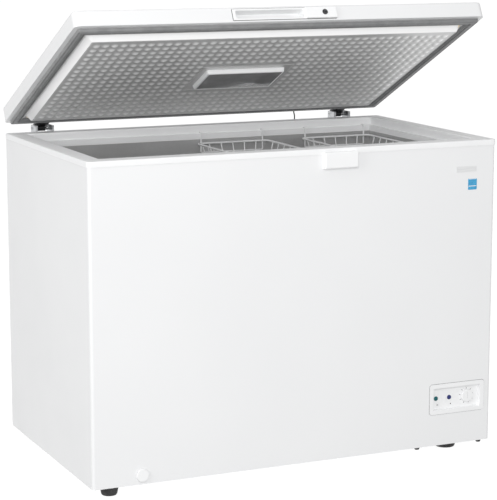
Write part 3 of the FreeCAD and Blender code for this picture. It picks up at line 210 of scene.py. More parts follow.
def stucco_aluminium():
    """The cavity's embossed aluminium sheet."""
    shader = Shader("stucco_aluminium", metallic=1.0)
    shader.colour(shader.noise(6.0, 4.0), (0.60, 0.60, 0.60), (0.68, 0.68, 0.68))
    shader.rough(shader.noise(120.0, 4.0), 0.40, 0.55)
    shader.relief(shader.cells(330.0, "SMOOTH_F1"), 0.35 * MM, 0.5)
    return shader.relief(shader.noise(900.0, 2.0), 0.05 * MM, 0.3).material


def pressed_aluminium():
    """The lid's pressed sheet. A mask lightens its colour on the dome crowns and the flat edge
    and darkens it on the ground between the domes: partly polish, partly painted highlight and
    painted shade.
    """
    shader = Shader("pressed_aluminium", metallic=0.25)
    dome_polish_and_painted_light = shader.node("Attribute", attribute_name="dome_polish_and_painted_light").outputs["Fac"]
    wear = 0.12
    # Random wear noise added to the dome mask. The mask's light crowns and flat edge are painted
    # highlight, and its dark ground between the domes is painted shade, partly standing for
    # polish.
    worn = shader.node("Math", operation="MULTIPLY_ADD")
    shader.link(shader.noise(9.0, 4.0), worn.inputs[0])
    worn.inputs[1].default_value = wear
    shader.link(dome_polish_and_painted_light, worn.inputs[2])
    shader.colour(worn.outputs[0], (0.74, 0.74, 0.74), (1.0, 1.0, 1.0), 0.10, 0.62)
    shader.rough(shader.noise(60.0, 4.0, (0.15, 3.0, 3.0)), 0.22, 0.27)
    return shader.relief(shader.noise(40.0, 2.0), 0.15 * MM, 0.06).material


def moulded_white():
    """Moulded plastic with a fine grain."""
    tone = 0.91
    shader = Shader("moulded_white")
    shader.colour(shader.noise(11.0, 3.0), (tone, tone * 1.005, tone * 1.01),
                  (tone * 1.025, tone * 1.03, tone * 1.035))
    shader.rough(shader.noise(55.0, 4.0), 0.32, 0.44)
    return shader.relief(shader.noise(1400.0, 2.0), 0.05 * MM, 0.35).material


def grille_white():
    shader = Shader("grille_white")
    shader.colour(shader.noise(25.0), (0.74, 0.75, 0.76), (0.80, 0.81, 0.82))
    shader.rough(shader.noise(90.0), 0.45, 0.6)
    return shader.relief(shader.noise(1600.0, 2.0), 0.06 * MM, 0.5).material


def vinyl():
    """Grey extruded vinyl of the magnetic seal."""
    shader = Shader("gasket_vinyl", Sheen_Weight=0.1)
    shader.colour(shader.noise(35.0, 4.0), (0.20, 0.203, 0.206), (0.26, 0.263, 0.266))
    shader.rough(shader.noise(180.0, 3.0), 0.42, 0.6)
    return shader.relief(shader.noise(1100.0, 2.0), 0.05 * MM, 0.5).material


def rubber():
    shader = Shader("black_rubber")
    shader.colour(shader.noise(70.0, 5.0), (0.012, 0.012, 0.013), (0.045, 0.044, 0.043))
    shader.rough(shader.noise(150.0, 4.0), 0.6, 0.85)
    return shader.relief(shader.noise(1500.0, 3.0), 0.1 * MM, 0.6).material


def black_plastic():
    shader = Shader("black_plastic")
    shader.colour(shader.noise(40.0), (0.018, 0.018, 0.02), (0.04, 0.04, 0.043))
    shader.rough(shader.noise(100.0, 4.0), 0.35, 0.5)
    return shader.relief(shader.cells(900.0), 0.06 * MM, 0.5).material


def black_enamel():
    shader = Shader("black_enamel", Coat_Weight=0.2)
    shader.colour(shader.noise(18.0, 4.0), (0.012, 0.012, 0.013), (0.03, 0.03, 0.032))
    shader.rough(shader.noise(75.0, 4.0), 0.25, 0.42)
    return shader.relief(shader.noise(450.0, 1.0), 0.12 * MM, 0.35).material


def bright_steel():
    shader = Shader("bright_steel", metallic=1.0)
    shader.colour(shader.noise(90.0, 4.0), (0.62, 0.62, 0.63), (0.78, 0.78, 0.79))
    shader.rough(shader.noise(220.0, 4.0), 0.14, 0.3)
    return shader.relief(shader.noise(1200.0, 3.0), 0.04 * MM, 0.4).material


def dark_steel():
    """Blackened steel of the key barrel, worn brighter in places."""
    shader = Shader("dark_steel", metallic=0.8)
    shader.colour(shader.noise(160.0, 4.0), (0.05, 0.05, 0.055), (0.16, 0.16, 0.165))
    shader.rough(shader.noise(220.0, 4.0), 0.25, 0.4)
    return shader.relief(shader.noise(1100.0, 3.0), 0.04 * MM, 0.4).material


def copper():
    """Drawn copper tube with brown handling stains."""
    shader = Shader("copper_tube", metallic=1.0)
    shader.colour(shader.noise(45.0, 5.0), (0.42, 0.19, 0.10), (0.80, 0.45, 0.29), 0.35, 0.6)
    shader.rough(shader.noise(130.0, 4.0), 0.22, 0.48)
    return shader.relief(shader.noise(800.0, 2.0), 0.05 * MM, 0.4).material


def coated_wire():
    shader = Shader("coated_wire", Coat_Weight=0.3, Coat_Roughness=0.15)
    shader.colour(shader.noise(50.0, 3.0), (0.88, 0.885, 0.89), (0.92, 0.925, 0.93))
    shader.rough(shader.noise(120.0, 3.0), 0.28, 0.4)
    return shader.relief(shader.noise(600.0, 2.0), 0.06 * MM, 0.35).material


def tinted_lens(name, dark, light):
    shader = Shader(name, Coat_Weight=0.15, Coat_Roughness=0.1, Specular_IOR_Level=0.25)
    shader.colour(shader.cells(420.0), dark, light, 0.1, 0.8)
    shader.rough(shader.noise(300.0), 0.1, 0.2)
    return shader.relief(shader.cells(650.0), 0.15 * MM, 0.3).material


def lamp_cover():
    """A glossy diffuser with fine prisms, coloured dark grey as painted shade on its down-facing
    face.
    """
    shader = Shader("lamp_cover", Coat_Weight=0.6, Coat_Roughness=0.05)
    # The dark grey is painted shade on the down-facing cover.
    shader.colour(shader.noise(30.0), (0.24, 0.243, 0.245), (0.30, 0.303, 0.305))
    shader.rough(shader.noise(90.0), 0.12, 0.2)
    return shader.relief(shader.noise(500.0, 1.0), 0.04 * MM, 0.25).material


def circuit_board():
    shader = Shader("circuit_board")
    shader.colour(shader.cells(240.0, output="Color"), (0.70, 0.72, 0.70), (0.86, 0.87, 0.85),
                  0.2, 0.8)
    shader.rough(shader.noise(90.0), 0.35, 0.5)
    return shader.relief(shader.cells(240.0), 0.1 * MM, 0.3).material


def plate_silver():
    """A pale satin badge with nothing on it."""
    shader = Shader("plate_silver", metallic=0.35)
    shader.colour(shader.noise(60.0, 4.0, (0.3, 1.0, 4.0)), (0.72, 0.725, 0.73),
                  (0.80, 0.805, 0.81))
    shader.rough(shader.noise(200.0, 4.0, (0.2, 1.0, 5.0)), 0.3, 0.42)
    return shader.relief(shader.noise(700.0, 2.0, (0.1, 1.0, 4.0)), 0.04 * MM, 0.4).material


def blue_foil():
    shader = Shader("blue_foil", Coat_Weight=0.5, Coat_Roughness=0.08)
    shader.colour(shader.noise(70.0), (0.020, 0.30, 0.58), (0.035, 0.38, 0.66))
    shader.rough(shader.noise(200.0), 0.22, 0.32)
    return shader.relief(shader.noise(400.0, 2.0), 0.05 * MM, 0.3).material


SURFACES = {
    "white_steel": enamel(),
    "back_steel": back_enamel(),
    "zinc_steel": zinc(),
    "foam": foam(),
    "liner_metal": stucco_aluminium(),
    "white_plastic": moulded_white(),
    "grille_plastic": grille_white(),
    "gasket_vinyl": vinyl(),
    "black_rubber": rubber(),
    "black_plastic": black_plastic(),
    "black_steel": black_enamel(),
    "screw_steel": bright_steel(),
    "copper_tube": copper(),
    "basket_wire": coated_wire(),
    "green_lens": tinted_lens("green_lens", (0.002, 0.055, 0.065), (0.004, 0.15, 0.165)),
    "blue_lens": tinted_lens("blue_lens", (0.010, 0.014, 0.075), (0.03, 0.045, 0.22)),
    "lamp_cover": lamp_cover(),
    "circuit_board": circuit_board(),
    "plate_silver": plate_silver(),
    "blue_foil": blue_foil(),
}
PRESSED = pressed_aluminium()

for part in nodes.values():
    for holder in part.material_slots:
        holder.material = SURFACES[holder.material.name.split(".")[0]]
nodes["key_barrel"].material_slots[0].material = dark_steel()


# ---------------------------------------------------------------------------------------
# Mesh helpers
# ---------------------------------------------------------------------------------------

def add_piece(name, mesh, body, slot, *stood_for, on_lid=False, surface=None, angle=35):
    """Turns a finished mesh into a piece that rides on its body.

    A piece on the lid is built shut. stood_for names the CAD nodes that it replaces.
    """
    if on_lid:
        mesh.transform(OPENING)
    mesh.materials.clear()
    mesh.materials.append(surface or SURFACES[slot])
    mesh.set_sharp_from_angle(angle=math.radians(angle))
    piece = bpy.data.objects.new(name, mesh)
    scene.collection.objects.link(piece)
    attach(piece, body)
    if stood_for:
        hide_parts(*stood_for)


def mesh_from(name, built):
    """Closes a built surface and shades it smooth."""
    bmesh.ops.remove_doubles(built, verts=built.verts, dist=WELD)
    bmesh.ops.recalc_face_normals(built, faces=built.faces)
    for face in built.faces:
        face.smooth = True
    mesh = bpy.data.meshes.new(name)
    built.to_mesh(mesh)
    built.free()
    return mesh


def ring(low, high, inset, corner, steps=6):
    """Points round a rectangle with rounded corners, counterclockwise."""
    radius = max(corner - inset, LEAST_CORNER)
    left, right = low[0] + inset, high[0] - inset
    near, far = low[1] + inset, high[1] - inset
    middles = ((right - radius, far - radius), (left + radius, far - radius),
               (left + radius, near + radius), (right - radius, near + radius))
    points = []
    for quarter, (x, y) in enumerate(middles):
        for step in range(steps + 1):
            turn = math.radians(90 * (quarter + step / steps))
            points.append((x + radius * math.cos(turn), y + radius * math.sin(turn)))
    return points


def skin(built, loops, closed=False):
    """Joins loops of equal length into one surface."""
    rows = [[built.verts.new(point) for point in loop] for loop in loops]
    pairs = list(zip(rows, rows[1:])) + ([(rows[-1], rows[0])] if closed else [])
    for one, two in pairs:
        for i in range(len(one)):
            j = (i + 1) % len(one)
            built.faces.new((one[i], one[j], two[j], two[i]))
    return rows


def band(built, low, high, profile, corner, steps=6):
    """A closed profile of (inset, height) pairs, swept round a rectangle."""
    skin(built, [[(x, y, height) for x, y in ring(low, high, inset, corner, steps)]
                 for inset, height in profile], closed=True)


def slab(built, low, high, corner, bevel, turn=None):
    """A plate with rounded corners and eased edges, flat in XY, turned by a matrix."""
    ease = 0.3 * bevel
    profile = [(bevel, low[2]), (ease, low[2] + ease), (0, low[2] + bevel),
               (0, high[2] - bevel), (ease, high[2] - ease), (bevel, high[2])]
    loops = [[Vector((x, y, height)) for x, y in ring(low, high, inset, corner)]
             for inset, height in profile]
    if turn is not None:
        loops = [[turn @ point for point in loop] for loop in loops]
    rows = skin(built, loops)
    built.faces.new(list(reversed(rows[0])))
    built.faces.new(rows[-1])


UPRIGHT = Matrix(((1, 0, 0, 0), (0, 0, -1, 0), (0, 1, 0, 0), (0, 0, 0, 1)))


def front_slab(built, x_low, x_high, z_low, z_high, y_front, y_back, corner, bevel):
    """A plate with eased edges that faces the front."""
    slab(built, (x_low, z_low, -y_back), (x_high, z_high, -y_front), corner, bevel, UPRIGHT)


def turned(built, profile, x, y, steps=24):
    """A profile of (radius, height) pairs turned about the upright axis through (x, y)."""
    loops = []
    for radius, height in profile:
        radius = max(radius, LEAST_RADIUS)
        turns = [2 * math.pi * step / steps for step in range(steps)]
        loops.append([(x + radius * math.cos(turn), y + radius * math.sin(turn), height)
                      for turn in turns])
    rows = skin(built, loops)
    built.faces.new(rows[0])
    built.faces.new(rows[-1])


def rounded_line(points, radius, closed=False, steps=4):
    """Points of a bent wire whose corners have that radius, each in that many steps."""
    points = [Vector(point) for point in points]
    count = len(points)
    bent = []
    for i, point in enumerate(points):
        if not closed and i in (0, count - 1):
            bent.append(point)
            continue
        before = (points[i - 1] - point).normalized()
        after = (points[(i + 1) % count] - point).normalized()
        half = before.angle(after) / 2
        reach = radius / math.tan(half)
        middle = point + (before + after).normalized() * (radius / math.sin(half))
        start = point + before * reach - middle
        end = point + after * reach - middle
        for step in range(steps + 1):
            across = start.normalized().slerp(end.normalized(), step / steps)
            bent.append(middle + across * start.length)
    return bent


def wires(name, lines, radius):
    """One mesh of round wires. Each line is (points, closed)."""
    curve = bpy.data.curves.new(name, "CURVE")
    curve.dimensions = "3D"
    curve.bevel_depth = radius
    curve.bevel_resolution = 3
    curve.use_fill_caps = True
    for points, closed in lines:
        spline = curve.splines.new("POLY")
        spline.points.add(len(points) - 1)
        for knot, point in zip(spline.points, points):
            knot.co = (*point, 1.0)
        spline.use_cyclic_u = closed
    holder = bpy.data.objects.new(name + "_curve", curve)
    scene.collection.objects.link(holder)
    bpy.context.view_layer.update()
    mesh = bpy.data.meshes.new_from_object(
        holder.evaluated_get(bpy.context.evaluated_depsgraph_get()))
    bpy.data.objects.remove(holder)
    bpy.data.curves.remove(curve)
    mesh.polygons.foreach_set("use_smooth", [True] * len(mesh.polygons))
    return mesh


# ---------------------------------------------------------------------------------------
# Lid: pressed liner, seal and lamp
# ---------------------------------------------------------------------------------------

PAN_LOW, PAN_HIGH = shut_box("lid_liner")
SEAL_LOW, SEAL_HIGH = shut_box("lid_gasket")
LAMP_LOW, LAMP_HIGH = shut_box("lamp_housing")

SHEET = 0.6 * MM
FLANGE_DROP = 1.2 * MM        # from the pan's top to its flat edge
SLOPE_FOOT = 33 * MM          # this and the next two are measured in from the pan's edge
SLOPE_TOP = 47 * MM
GROOVE = 49.5 * MM
FOLD = 1.5 * MM
GROOVE_HALF = 1.3 * MM
GROOVE_DEPTH = 0.9 * MM
DOME_COLUMNS, DOME_ROWS = 42, 19
DOME_PITCH_X, DOME_PITCH_Y = 23.5 * MM, 26.8 * MM
DOME_RADIUS = 10.4 * MM
DOME_RISE = 3.8 * MM
DOME_POWER = 1.05             # 1 is a cosine bump, less is flatter on top
DOME_CELLS = 8                # grid cells across a dome's pitch
DOME_CLEARANCE = 0.7          # of a dome's radius, between it and the lamp's bead
BEAD_MARGIN_X, BEAD_MARGIN_Y = 18 * MM, 21 * MM
BEAD_HALF = 2.2 * MM
BEAD_RISE = 1.2 * MM
EDGE_POLISH_AND_PAINTED_LIGHT = 0.9             # the flat edge's share of a dome crown's polish and painted highlight
LEAST_GAP = 0.25 * MM         # between two grid lines


def spread(low, high, around, pitch, count, extra):
    """Grid lines across the pan: its folds, the dome cells and any extra lines."""
    folds = (0, SLOPE_FOOT, SLOPE_FOOT + FOLD, SLOPE_TOP - FOLD, SLOPE_TOP,
             GROOVE - GROOVE_HALF, GROOVE, GROOVE + GROOVE_HALF, GROOVE + 3 * GROOVE_HALF)
    found = [low + fold for fold in folds] + [high - fold for fold in folds] + list(extra)
    start = around - pitch * count / 2
    found += [start + pitch * i / DOME_CELLS for i in range(count * DOME_CELLS + 1)]
    kept = []
    for line in sorted(found):
        if not kept or line - kept[-1] > LEAST_GAP:
            kept.append(line)
    return kept


def make_lid_liner():
    """The pressed pan: flat edge, slope, groove, rows of domes and a bead round the lamp."""
    low, high = PAN_LOW, PAN_HIGH
    plate = high.z - FLANGE_DROP
    face = low.z
    middle = (low + high) / 2
    lamp_left, lamp_right = LAMP_LOW.x - BEAD_MARGIN_X, LAMP_HIGH.x + BEAD_MARGIN_X
    lamp_near, lamp_far = LAMP_LOW.y - BEAD_MARGIN_Y, LAMP_HIGH.y + BEAD_MARGIN_Y
    bead_steps = [BEAD_HALF * step / 2 for step in (-2, -1, 0, 1, 2)]
    columns = spread(low.x, high.x, middle.x, DOME_PITCH_X, DOME_COLUMNS,
                     [edge + step for edge in (lamp_left, lamp_right) for step in bead_steps])
    rows = spread(low.y, high.y, middle.y, DOME_PITCH_Y, DOME_ROWS,
                  [edge + step for edge in (lamp_near, lamp_far) for step in bead_steps])
    first_x = middle.x - DOME_PITCH_X * (DOME_COLUMNS - 1) / 2
    first_y = middle.y - DOME_PITCH_Y * (DOME_ROWS - 1) / 2

    def from_edge(x, y):
        return min(x - low.x, high.x - x, y - low.y, high.y - y)

    def from_bead(x, y):
        """Distance outside the lamp's bead, or below zero inside it."""
        return max(lamp_left - x, x - lamp_right, lamp_near - y, y - lamp_far)

    def height(x, y):
        inset = from_edge(x, y)
        if inset <= SLOPE_FOOT:
            return plate
        if inset < SLOPE_TOP:
            share = (inset - SLOPE_FOOT) / (SLOPE_TOP - SLOPE_FOOT)
            return plate + (face - plate) * share
        off_groove = abs(inset - GROOVE) / GROOVE_HALF
        if off_groove < 1:
            return face + GROOVE_DEPTH * (1 - off_groove)
        off_bead = abs(from_bead(x, y)) / BEAD_HALF
        if off_bead < 1:
            return face - BEAD_RISE * math.cos(off_bead * math.pi / 2) ** 2
        if from_bead(x, y) < BEAD_HALF:
            return face
        column = min(max(round((x - first_x) / DOME_PITCH_X), 0), DOME_COLUMNS - 1)
        row = min(max(round((y - first_y) / DOME_PITCH_Y), 0), DOME_ROWS - 1)
        dome_x = first_x + column * DOME_PITCH_X
        dome_y = first_y + row * DOME_PITCH_Y
        off = math.hypot(x - dome_x, y - dome_y) / DOME_RADIUS
        if off >= 1 or from_bead(dome_x, dome_y) < DOME_RADIUS * DOME_CLEARANCE:
            return face
        return face - DOME_RISE * math.cos(off * math.pi / 2) ** DOME_POWER

    built = bmesh.new()
    grid = [[built.verts.new((x, y, height(x, y))) for x in columns] for y in rows]
    for one, two in zip(grid, grid[1:]):
        for i in range(len(columns) - 1):
            built.faces.new((one[i], two[i], two[i + 1], one[i + 1]))
    bmesh.ops.solidify(built, geom=built.faces[:], thickness=-SHEET)
    mesh = mesh_from("lid_liner_sheet", built)
    # Each point's dome rise, and a fixed share on the flat edge and slope, go into the colour
    # mask: painted highlight on the crowns and the edge, painted shade on the ground between the
    # domes, partly standing for polish.
    dome_polish_and_painted_light = mesh.attributes.new("dome_polish_and_painted_light", "FLOAT", "POINT")
    for entry, vertex in zip(dome_polish_and_painted_light.data, mesh.vertices):
        x, y = vertex.co.x, vertex.co.y
        rise = (face - height(x, y)) / DOME_RISE
        entry.value = EDGE_POLISH_AND_PAINTED_LIGHT if from_edge(x, y) < SLOPE_TOP else min(max(rise, 0.0), 1.0)
    add_piece("lid_liner_sheet", mesh, "lid", "liner_metal", "lid_liner", on_lid=True,
              surface=PRESSED, angle=40)


SEAL_WIDTH = 25.0 * MM
SEAL_CORNER = 6 * MM


def make_gasket():
    """Extruded seal: a narrow outer rib, the wide magnet rib and a low inner rib."""
    top = SEAL_HIGH.z
    tip = SEAL_LOW.z
    outer_rib = ((0.6, 2.4), (2.0, 1.3), (3.6, 1.7), (4.6, 3.8))
    magnet_rib = ((5.6, 1.2), (7.4, 0.2), (11.0, 0.0), (14.6, 0.2), (16.2, 1.0), (17.0, 4.2))
    inner_rib = ((18.4, 4.6), (19.6, 1.8), (21.8, 1.2), (23.4, 2.6), (24.2, 5.0))
    profile = [(0.3 * MM, top), (0.0, top - 3.2 * MM)]
    profile += [(inset * MM, tip + rise * MM)
                for inset, rise in outer_rib + magnet_rib + inner_rib]
    profile += [(SEAL_WIDTH, top - 2.0 * MM), (SEAL_WIDTH, top)]
    built = bmesh.new()
    band(built, SEAL_LOW, SEAL_HIGH, profile, SEAL_CORNER, 5)
    add_piece("lid_gasket_ribs", mesh_from("lid_gasket_ribs", built), "lid", "gasket_vinyl",
              "lid_gasket", on_lid=True, angle=50)


LAMP_CORNER = 7 * MM
PANE_CORNER = 3 * MM
PANE_THICKNESS = 2.0 * MM


def make_lamp():
    """A raised bezel with sloped walls and a dark cover whose grey is painted shade."""
    low, high = LAMP_LOW, LAMP_HIGH
    run = 4.0 * MM            # how far a wall slopes in
    profile = [(0, high.z), (0.4 * MM, high.z - 1.2 * MM), (run - 1.2 * MM, low.z + 1.0 * MM),
               (run, low.z + 0.25 * MM), (run + 1.2 * MM, low.z), (run + 2.2 * MM, low.z),
               (run + 3.2 * MM, low.z + 0.5 * MM), (run + 3.2 * MM, low.z + 3.5 * MM),
               (2.0 * MM, high.z)]
    built = bmesh.new()
    band(built, low, high, profile, LAMP_CORNER)
    add_piece("lamp_bezel", mesh_from("lamp_bezel", built), "lid", "white_plastic",
              "lamp_housing", on_lid=True)
    built = bmesh.new()
    inset = run + 3.0 * MM
    pane = low.z + 0.6 * MM
    slab(built, (low.x + inset, low.y + inset, pane),
         (high.x - inset, high.y - inset, pane + PANE_THICKNESS), PANE_CORNER, 0.5 * MM)
    add_piece("lamp_cover_pane", mesh_from("lamp_cover_pane", built), "lid", "lamp_cover",
              "lamp_lens", on_lid=True)


# ---------------------------------------------------------------------------------------
# Baskets
# ---------------------------------------------------------------------------------------

RIM_WIRE, MESH_WIRE = 2.6 * MM, 1.5 * MM
MESH_PITCH = 37 * MM
TAPER = 50 * MM               # from the rim in to the base
RIM_CORNER, BASE_CORNER = 14 * MM, 12 * MM
WALL_RINGS = ((0.36, 18 * MM), (0.70, 14 * MM))    # share of the depth, corner radius
RIB_BEND = 9 * MM
RIB_CLEARANCE = 6 * MM        # between the outermost ribs and the base ring


def make_basket(side):
    """Bent and welded wire: rim, base ring, U-shaped ribs both ways, two wall rings."""
    low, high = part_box("basket_" + side)
    low = low + Vector((RIM_WIRE, RIM_WIRE, MESH_WIRE))
    high = high - Vector((RIM_WIRE, RIM_WIRE, RIM_WIRE))
    depth = high.z - low.z

    def loop(share, corner):
        """A ring round the basket; share is 0 at the rim and 1 at the base."""
        inset = TAPER * share
        z = high.z - depth * share
        return (rounded_line([(low.x + inset, low.y + inset, z),
                              (high.x - inset, low.y + inset, z),
                              (high.x - inset, high.y - inset, z),
                              (low.x + inset, high.y - inset, z)], corner, closed=True), True)

    thin = [loop(share, corner) for share, corner in WALL_RINGS] + [loop(1.0, BASE_CORNER)]
    lengthways = round((high.y - low.y) / MESH_PITCH)
    inner_low, inner_high = low.y + TAPER, high.y - TAPER
    for i in range(1, lengthways):
        share = i / lengthways
        top_y = low.y + (high.y - low.y) * share
        base_y = min(max(top_y, inner_low + RIB_CLEARANCE), inner_high - RIB_CLEARANCE)
        thin.append((rounded_line([(low.x, top_y, high.z), (low.x + TAPER, base_y, low.z),
                                   (high.x - TAPER, base_y, low.z), (high.x, top_y, high.z)],
                                  RIB_BEND), False))
    across = round((high.x - low.x) / MESH_PITCH)
    inner_low, inner_high = low.x + TAPER, high.x - TAPER
    for i in range(1, across):
        share = i / across
        top_x = low.x + (high.x - low.x) * share
        base_x = inner_low + (inner_high - inner_low) * share
        thin.append((rounded_line([(top_x, low.y, high.z), (base_x, low.y + TAPER, low.z),
                                   (base_x, high.y - TAPER, low.z), (top_x, high.y, high.z)],
                                  RIB_BEND), False))
    rim = wires("basket_rim", [loop(0.0, RIM_CORNER)], RIM_WIRE)
    mesh = wires("basket_mesh", thin, MESH_WIRE)
    body = side + "_basket"
    add_piece("basket_%s_wires" % side, mesh, body, "basket_wire", "basket_" + side)
    add_piece("basket_%s_rim" % side, rim, body, "basket_wire")


# ---------------------------------------------------------------------------------------
# Lamp lead across the hinge
# ---------------------------------------------------------------------------------------

LEAD_BEND_BELOW, LEAD_BEND_ABOVE = 16 * MM, 10 * MM
LEAD_STEP = 2 * MM


def make_lamp_lead():
    """One sheath from the back panel, up through the hinge's axis and into the lid."""
    low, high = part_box("lamp_lead_lower")
    upper_low, upper_high = shut_box("lamp_lead_upper")
    x = (low.x + high.x) / 2
    radius = (high.x - low.x) / 2
    lower_z = low.z + radius
    upper_z = upper_high.z - radius
    crossing = PIVOT + Vector((x, 0, 0))
    path = rounded_line([(x, low.y, lower_z), (x, PIVOT.y, lower_z), crossing],
                        LEAD_BEND_BELOW, steps=8)
    upper = rounded_line([crossing, (x, PIVOT.y, upper_z), (x, upper_low.y, upper_z)],
                         LEAD_BEND_ABOVE, steps=8)
    path += [OPENING @ point for point in upper[1:]]
    line = []
    for start, end in zip(path, path[1:]):
        count = max(1, round((end - start).length / LEAD_STEP))
        line += [start.lerp(end, i / count) for i in range(count)]
    line.append(path[-1])
    mesh = wires("lamp_lead_sheath", [(line, False)], radius)
    piece = bpy.data.objects.new("lamp_lead_sheath", mesh)
    scene.collection.objects.link(piece)
    mesh.materials.append(SURFACES["black_rubber"])
    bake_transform(piece)
    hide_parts("lamp_lead_lower", "lamp_lead_upper")


# ---------------------------------------------------------------------------------------
# Small front details
# ---------------------------------------------------------------------------------------

PANEL_DEPTH = 11.0 * MM       # from the bezel's front to its sunken face
DIAL_MARKS = 9
MARK_TURN = 40                # degrees between marks, from the top
MARK_LIFT = 0.15 * MM
MARK_GAP = 1.6 * MM           # between the dial and its marks
MARK_HALF, MARK_LENGTH = 0.8 * MM, 3.6 * MM
LENS_MARK = Vector((5 * MM, 0, -18 * MM))    # from a lens to its mark
LINE_PROUD = 0.4 * MM


def front_plate(built, corners, y, thickness):
    """A flat plate that faces the front, from its corners as (x, z) pairs."""
    front = [built.verts.new((x, y, z)) for x, z in corners]
    back = [built.verts.new((x, y + thickness, z)) for x, z in corners]
    built.faces.new(front)
    built.faces.new(list(reversed(back)))
    for i in range(len(corners)):
        j = (i + 1) % len(corners)
        built.faces.new((front[j], front[i], back[i], back[j]))


def front_ring(built, low_x, low_z, high_x, high_z, y, width, proud, corner):
    """A raised line round a rectangle with rounded corners, facing the front."""
    first = len(built.verts)
    profile = [(0, -y), (0, -y + proud * 0.7), (width * 0.3, -y + proud),
               (width * 0.7, -y + proud), (width, -y + proud * 0.7), (width, -y)]
    band(built, (low_x, low_z), (high_x, high_z), profile, corner)
    built.verts.ensure_lookup_table()
    for vertex in built.verts[first:]:
        vertex.co = UPRIGHT @ vertex.co


def make_panel_details():
    """Marks round the dial, a mark below each lens and a dark ring round the bezel, painted
    shadow of the gap where the bezel meets the wrap.
    """
    low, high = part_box("control_bezel")
    dial_low, dial_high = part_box("thermostat_dial")
    dial_x, dial_z = (dial_low.x + dial_high.x) / 2, (dial_low.z + dial_high.z) / 2
    dial_radius = (dial_high.x - dial_low.x) / 2
    face = low.y + PANEL_DEPTH - MARK_LIFT

    built = bmesh.new()
    for mark in range(DIAL_MARKS):
        angle = math.radians(90 + MARK_TURN * mark)
        out = Vector((math.cos(angle), math.sin(angle)))
        side = Vector((-math.sin(angle), math.cos(angle))) * MARK_HALF
        start = Vector((dial_x, dial_z)) + out * (dial_radius + MARK_GAP)
        end = start + out * MARK_LENGTH
        front_plate(built, [start - side, start + side, end + side / 2, end - side / 2],
                    face, 2 * MARK_LIFT)
    for lens, hollow in (("green_indicator", True), ("blue_indicator", False)):
        lens_low, lens_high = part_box(lens)
        centre = (lens_low + lens_high) / 2 + LENS_MARK
        half = 2.0 * MM if hollow else 1.5 * MM
        if hollow:
            front_ring(built, centre.x - half, centre.z - half, centre.x + half,
                       centre.z + half, face + MARK_LIFT, 0.7 * MM, MARK_LIFT, 0.6 * MM)
        else:
            front_plate(built, [(centre.x + half * math.cos(math.pi * i / 8),
                                 centre.z + half * math.sin(math.pi * i / 8))
                                for i in range(16)], face, 2 * MARK_LIFT)
    add_piece("panel_marks", mesh_from("panel_marks", built), "cabinet", "black_plastic")

    skin_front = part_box("outer_wrap")[0].y
    # A dark raised ring round the bezel stands for the shadow in the gap between the bezel and
    # the wrap: painted shadow.
    built = bmesh.new()
    joint = 0.9 * MM
    front_ring(built, low.x - joint, low.z - joint, high.x + joint, high.z + joint, skin_front,
               joint + 0.2 * MM, LINE_PROUD, 8 * MM)
    add_piece("panel_shadow_ring", mesh_from("panel_shadow_ring", built), "cabinet", "gasket_vinyl")


def make_handle_shadow_ring():
    """A dark ring round the handle and the lock plate on the lid's front, painted shadow of
    their edges and the gap round them.
    """
    grip_low, grip_high = shut_box("handle_recess")
    lock_right = shut_box("lock_plate")[1].x
    shell_front = shut_box("lid_shell")[0].y
    joint = 1.3 * MM
    # The ring's black is painted shadow along the edges of the handle and the lock plate.
    built = bmesh.new()
    front_ring(built, grip_low.x - joint, grip_low.z - joint, lock_right + joint,
               grip_high.z + joint, shell_front, joint + 0.3 * MM, LINE_PROUD, 2.5 * MM)
    add_piece("handle_shadow_ring", mesh_from("handle_shadow_ring", built), "lid", "black_plastic",
              on_lid=True)


def make_label_lines():
    """Two pale lines across the blank blue label."""
    low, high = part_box("info_label")
    width, height = high.x - low.x, high.z - low.z
    margin = 0.06 * width
    for name, start, end in (("label_line", 0.30, 0.36), ("label_edge", 0.94, 0.985)):
        built = bmesh.new()
        front_slab(built, low.x + margin, high.x - margin,
                   low.z + start * height, low.z + end * height,
                   low.y - 0.12 * MM, low.y + 0.05 * MM, 0.5 * MM, 0.05 * MM)
        add_piece(name, mesh_from(name, built), "cabinet", "white_plastic")


def make_tray_studs():
    """Two domed studs under the front edge, either side of the right foot."""
    wrap_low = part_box("outer_wrap")[0]
    tray_low, tray_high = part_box("compressor_tray")
    outline = ((0, 1), (6.5, 1), (7.0, 0), (7.0, -5), (5.5, -8), (2.0, -9), (0, -9))
    profile = [(radius * MM, tray_low.z + rise * MM) for radius, rise in outline]
    built = bmesh.new()
    for x in (tray_low.x + 30 * MM, tray_high.x - 22 * MM):
        turned(built, profile, x, wrap_low.y + 14 * MM)
    add_piece("tray_studs", mesh_from("tray_studs", built), "cabinet", "black_rubber")


make_lid_liner()
make_gasket()
make_lamp()
for basket_side in ("left", "right"):
    make_basket(basket_side)
make_lamp_lead()
make_panel_details()
make_handle_shadow_ring()
make_label_lines()
make_tray_studs()

# ---------------------------------------------------------------------------------------
# Studio: pale floor, soft light and the camera
# ---------------------------------------------------------------------------------------

CAMERA_PLACE = (-1.993, -4.441, 1.395)
CAMERA_YAW = 24.28            # degrees, to the right of straight ahead
CAMERA_PITCH = 10.15          # degrees, downwards
CAMERA_LENS = 133.8
WHITE = (1.0, 1.0, 1.0, 1.0)
FLOOR_GLOW = 0.94
SKY_STRENGTH, BACKDROP_STRENGTH = 0.52, 1.05

scene.view_settings.view_transform = "Standard"
scene.view_settings.look = "None"


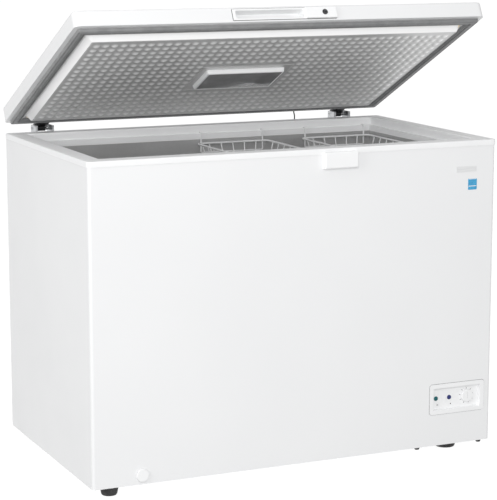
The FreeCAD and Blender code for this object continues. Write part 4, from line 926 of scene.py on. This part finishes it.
def make_floor():
    built = bmesh.new()
    bmesh.ops.create_grid(built, x_segments=8, y_segments=8, size=30.0)
    mesh = bpy.data.meshes.new("studio_floor")
    built.to_mesh(mesh)
    built.free()
    shader = Shader("studio_floor", roughness=0.9)
    shader.colour(shader.noise(0.8, 2.0), (0.14, 0.14, 0.14), (0.16, 0.16, 0.16))
    shader.principled.inputs["Emission Color"].default_value = WHITE
    shader.principled.inputs["Emission Strength"].default_value = FLOOR_GLOW
    mesh.materials.append(shader.material)
    floor = bpy.data.objects.new("studio_floor", mesh)
    floor.location.z = cad_low.z - 0.2 * MM
    floor.visible_diffuse = False
    scene.collection.objects.link(floor)


def make_world():
    """Even white light, and a slightly brighter backdrop where nothing is in the way."""
    world = bpy.data.worlds.new("studio")
    world.use_nodes = True
    tree = world.node_tree
    light = tree.nodes["Background"]
    light.inputs["Color"].default_value = WHITE
    light.inputs["Strength"].default_value = SKY_STRENGTH
    backdrop = tree.nodes.new("ShaderNodeBackground")
    backdrop.inputs["Color"].default_value = WHITE
    backdrop.inputs["Strength"].default_value = BACKDROP_STRENGTH
    seen = tree.nodes.new("ShaderNodeLightPath")
    mix = tree.nodes.new("ShaderNodeMixShader")
    tree.links.new(seen.outputs["Is Camera Ray"], mix.inputs[0])
    tree.links.new(light.outputs[0], mix.inputs[1])
    tree.links.new(backdrop.outputs[0], mix.inputs[2])
    tree.links.new(mix.outputs[0], tree.nodes["World Output"].inputs["Surface"])
    scene.world = world


def area_light(name, place, target, size, power):
    """A rectangular light of that many watts; places and sizes are in metres."""
    lamp = bpy.data.lights.new(name, "AREA")
    lamp.shape = "RECTANGLE"
    lamp.size, lamp.size_y = size
    lamp.energy = power
    holder = bpy.data.objects.new(name, lamp)
    holder.location = place
    holder.rotation_mode = "QUATERNION"
    holder.rotation_quaternion = (Vector(target) - Vector(place)).to_track_quat("-Z", "Y")
    scene.collection.objects.link(holder)


def make_camera():
    camera = bpy.data.cameras.new("camera")
    camera.lens = CAMERA_LENS
    camera.clip_start, camera.clip_end = 0.05, 100.0
    holder = bpy.data.objects.new("camera", camera)
    yaw, pitch = math.radians(CAMERA_YAW), math.radians(CAMERA_PITCH)
    forward = Vector((math.sin(yaw) * math.cos(pitch), math.cos(yaw) * math.cos(pitch),
                      -math.sin(pitch)))
    holder.location = CAMERA_PLACE
    holder.rotation_mode = "QUATERNION"
    holder.rotation_quaternion = forward.to_track_quat("-Z", "Y")
    scene.collection.objects.link(holder)
    scene.camera = holder


make_floor()
make_world()
middle = (cad_low + cad_high) / 2
area_light("front_soft", (-1.6, -4.4, 2.6), middle, (2.4, 1.2), 64)
area_light("low_soft", (-1.2, -4.4, 0.9), (0.0, 0.0, 0.9), (1.6, 0.6), 27)
area_light("left_soft", (-4.0, -1.6, 1.8), middle, (2.0, 2.0), 50)
area_light("top_soft", (-0.6, -0.8, 3.4), middle, (3.0, 2.4), 12)
make_camera()
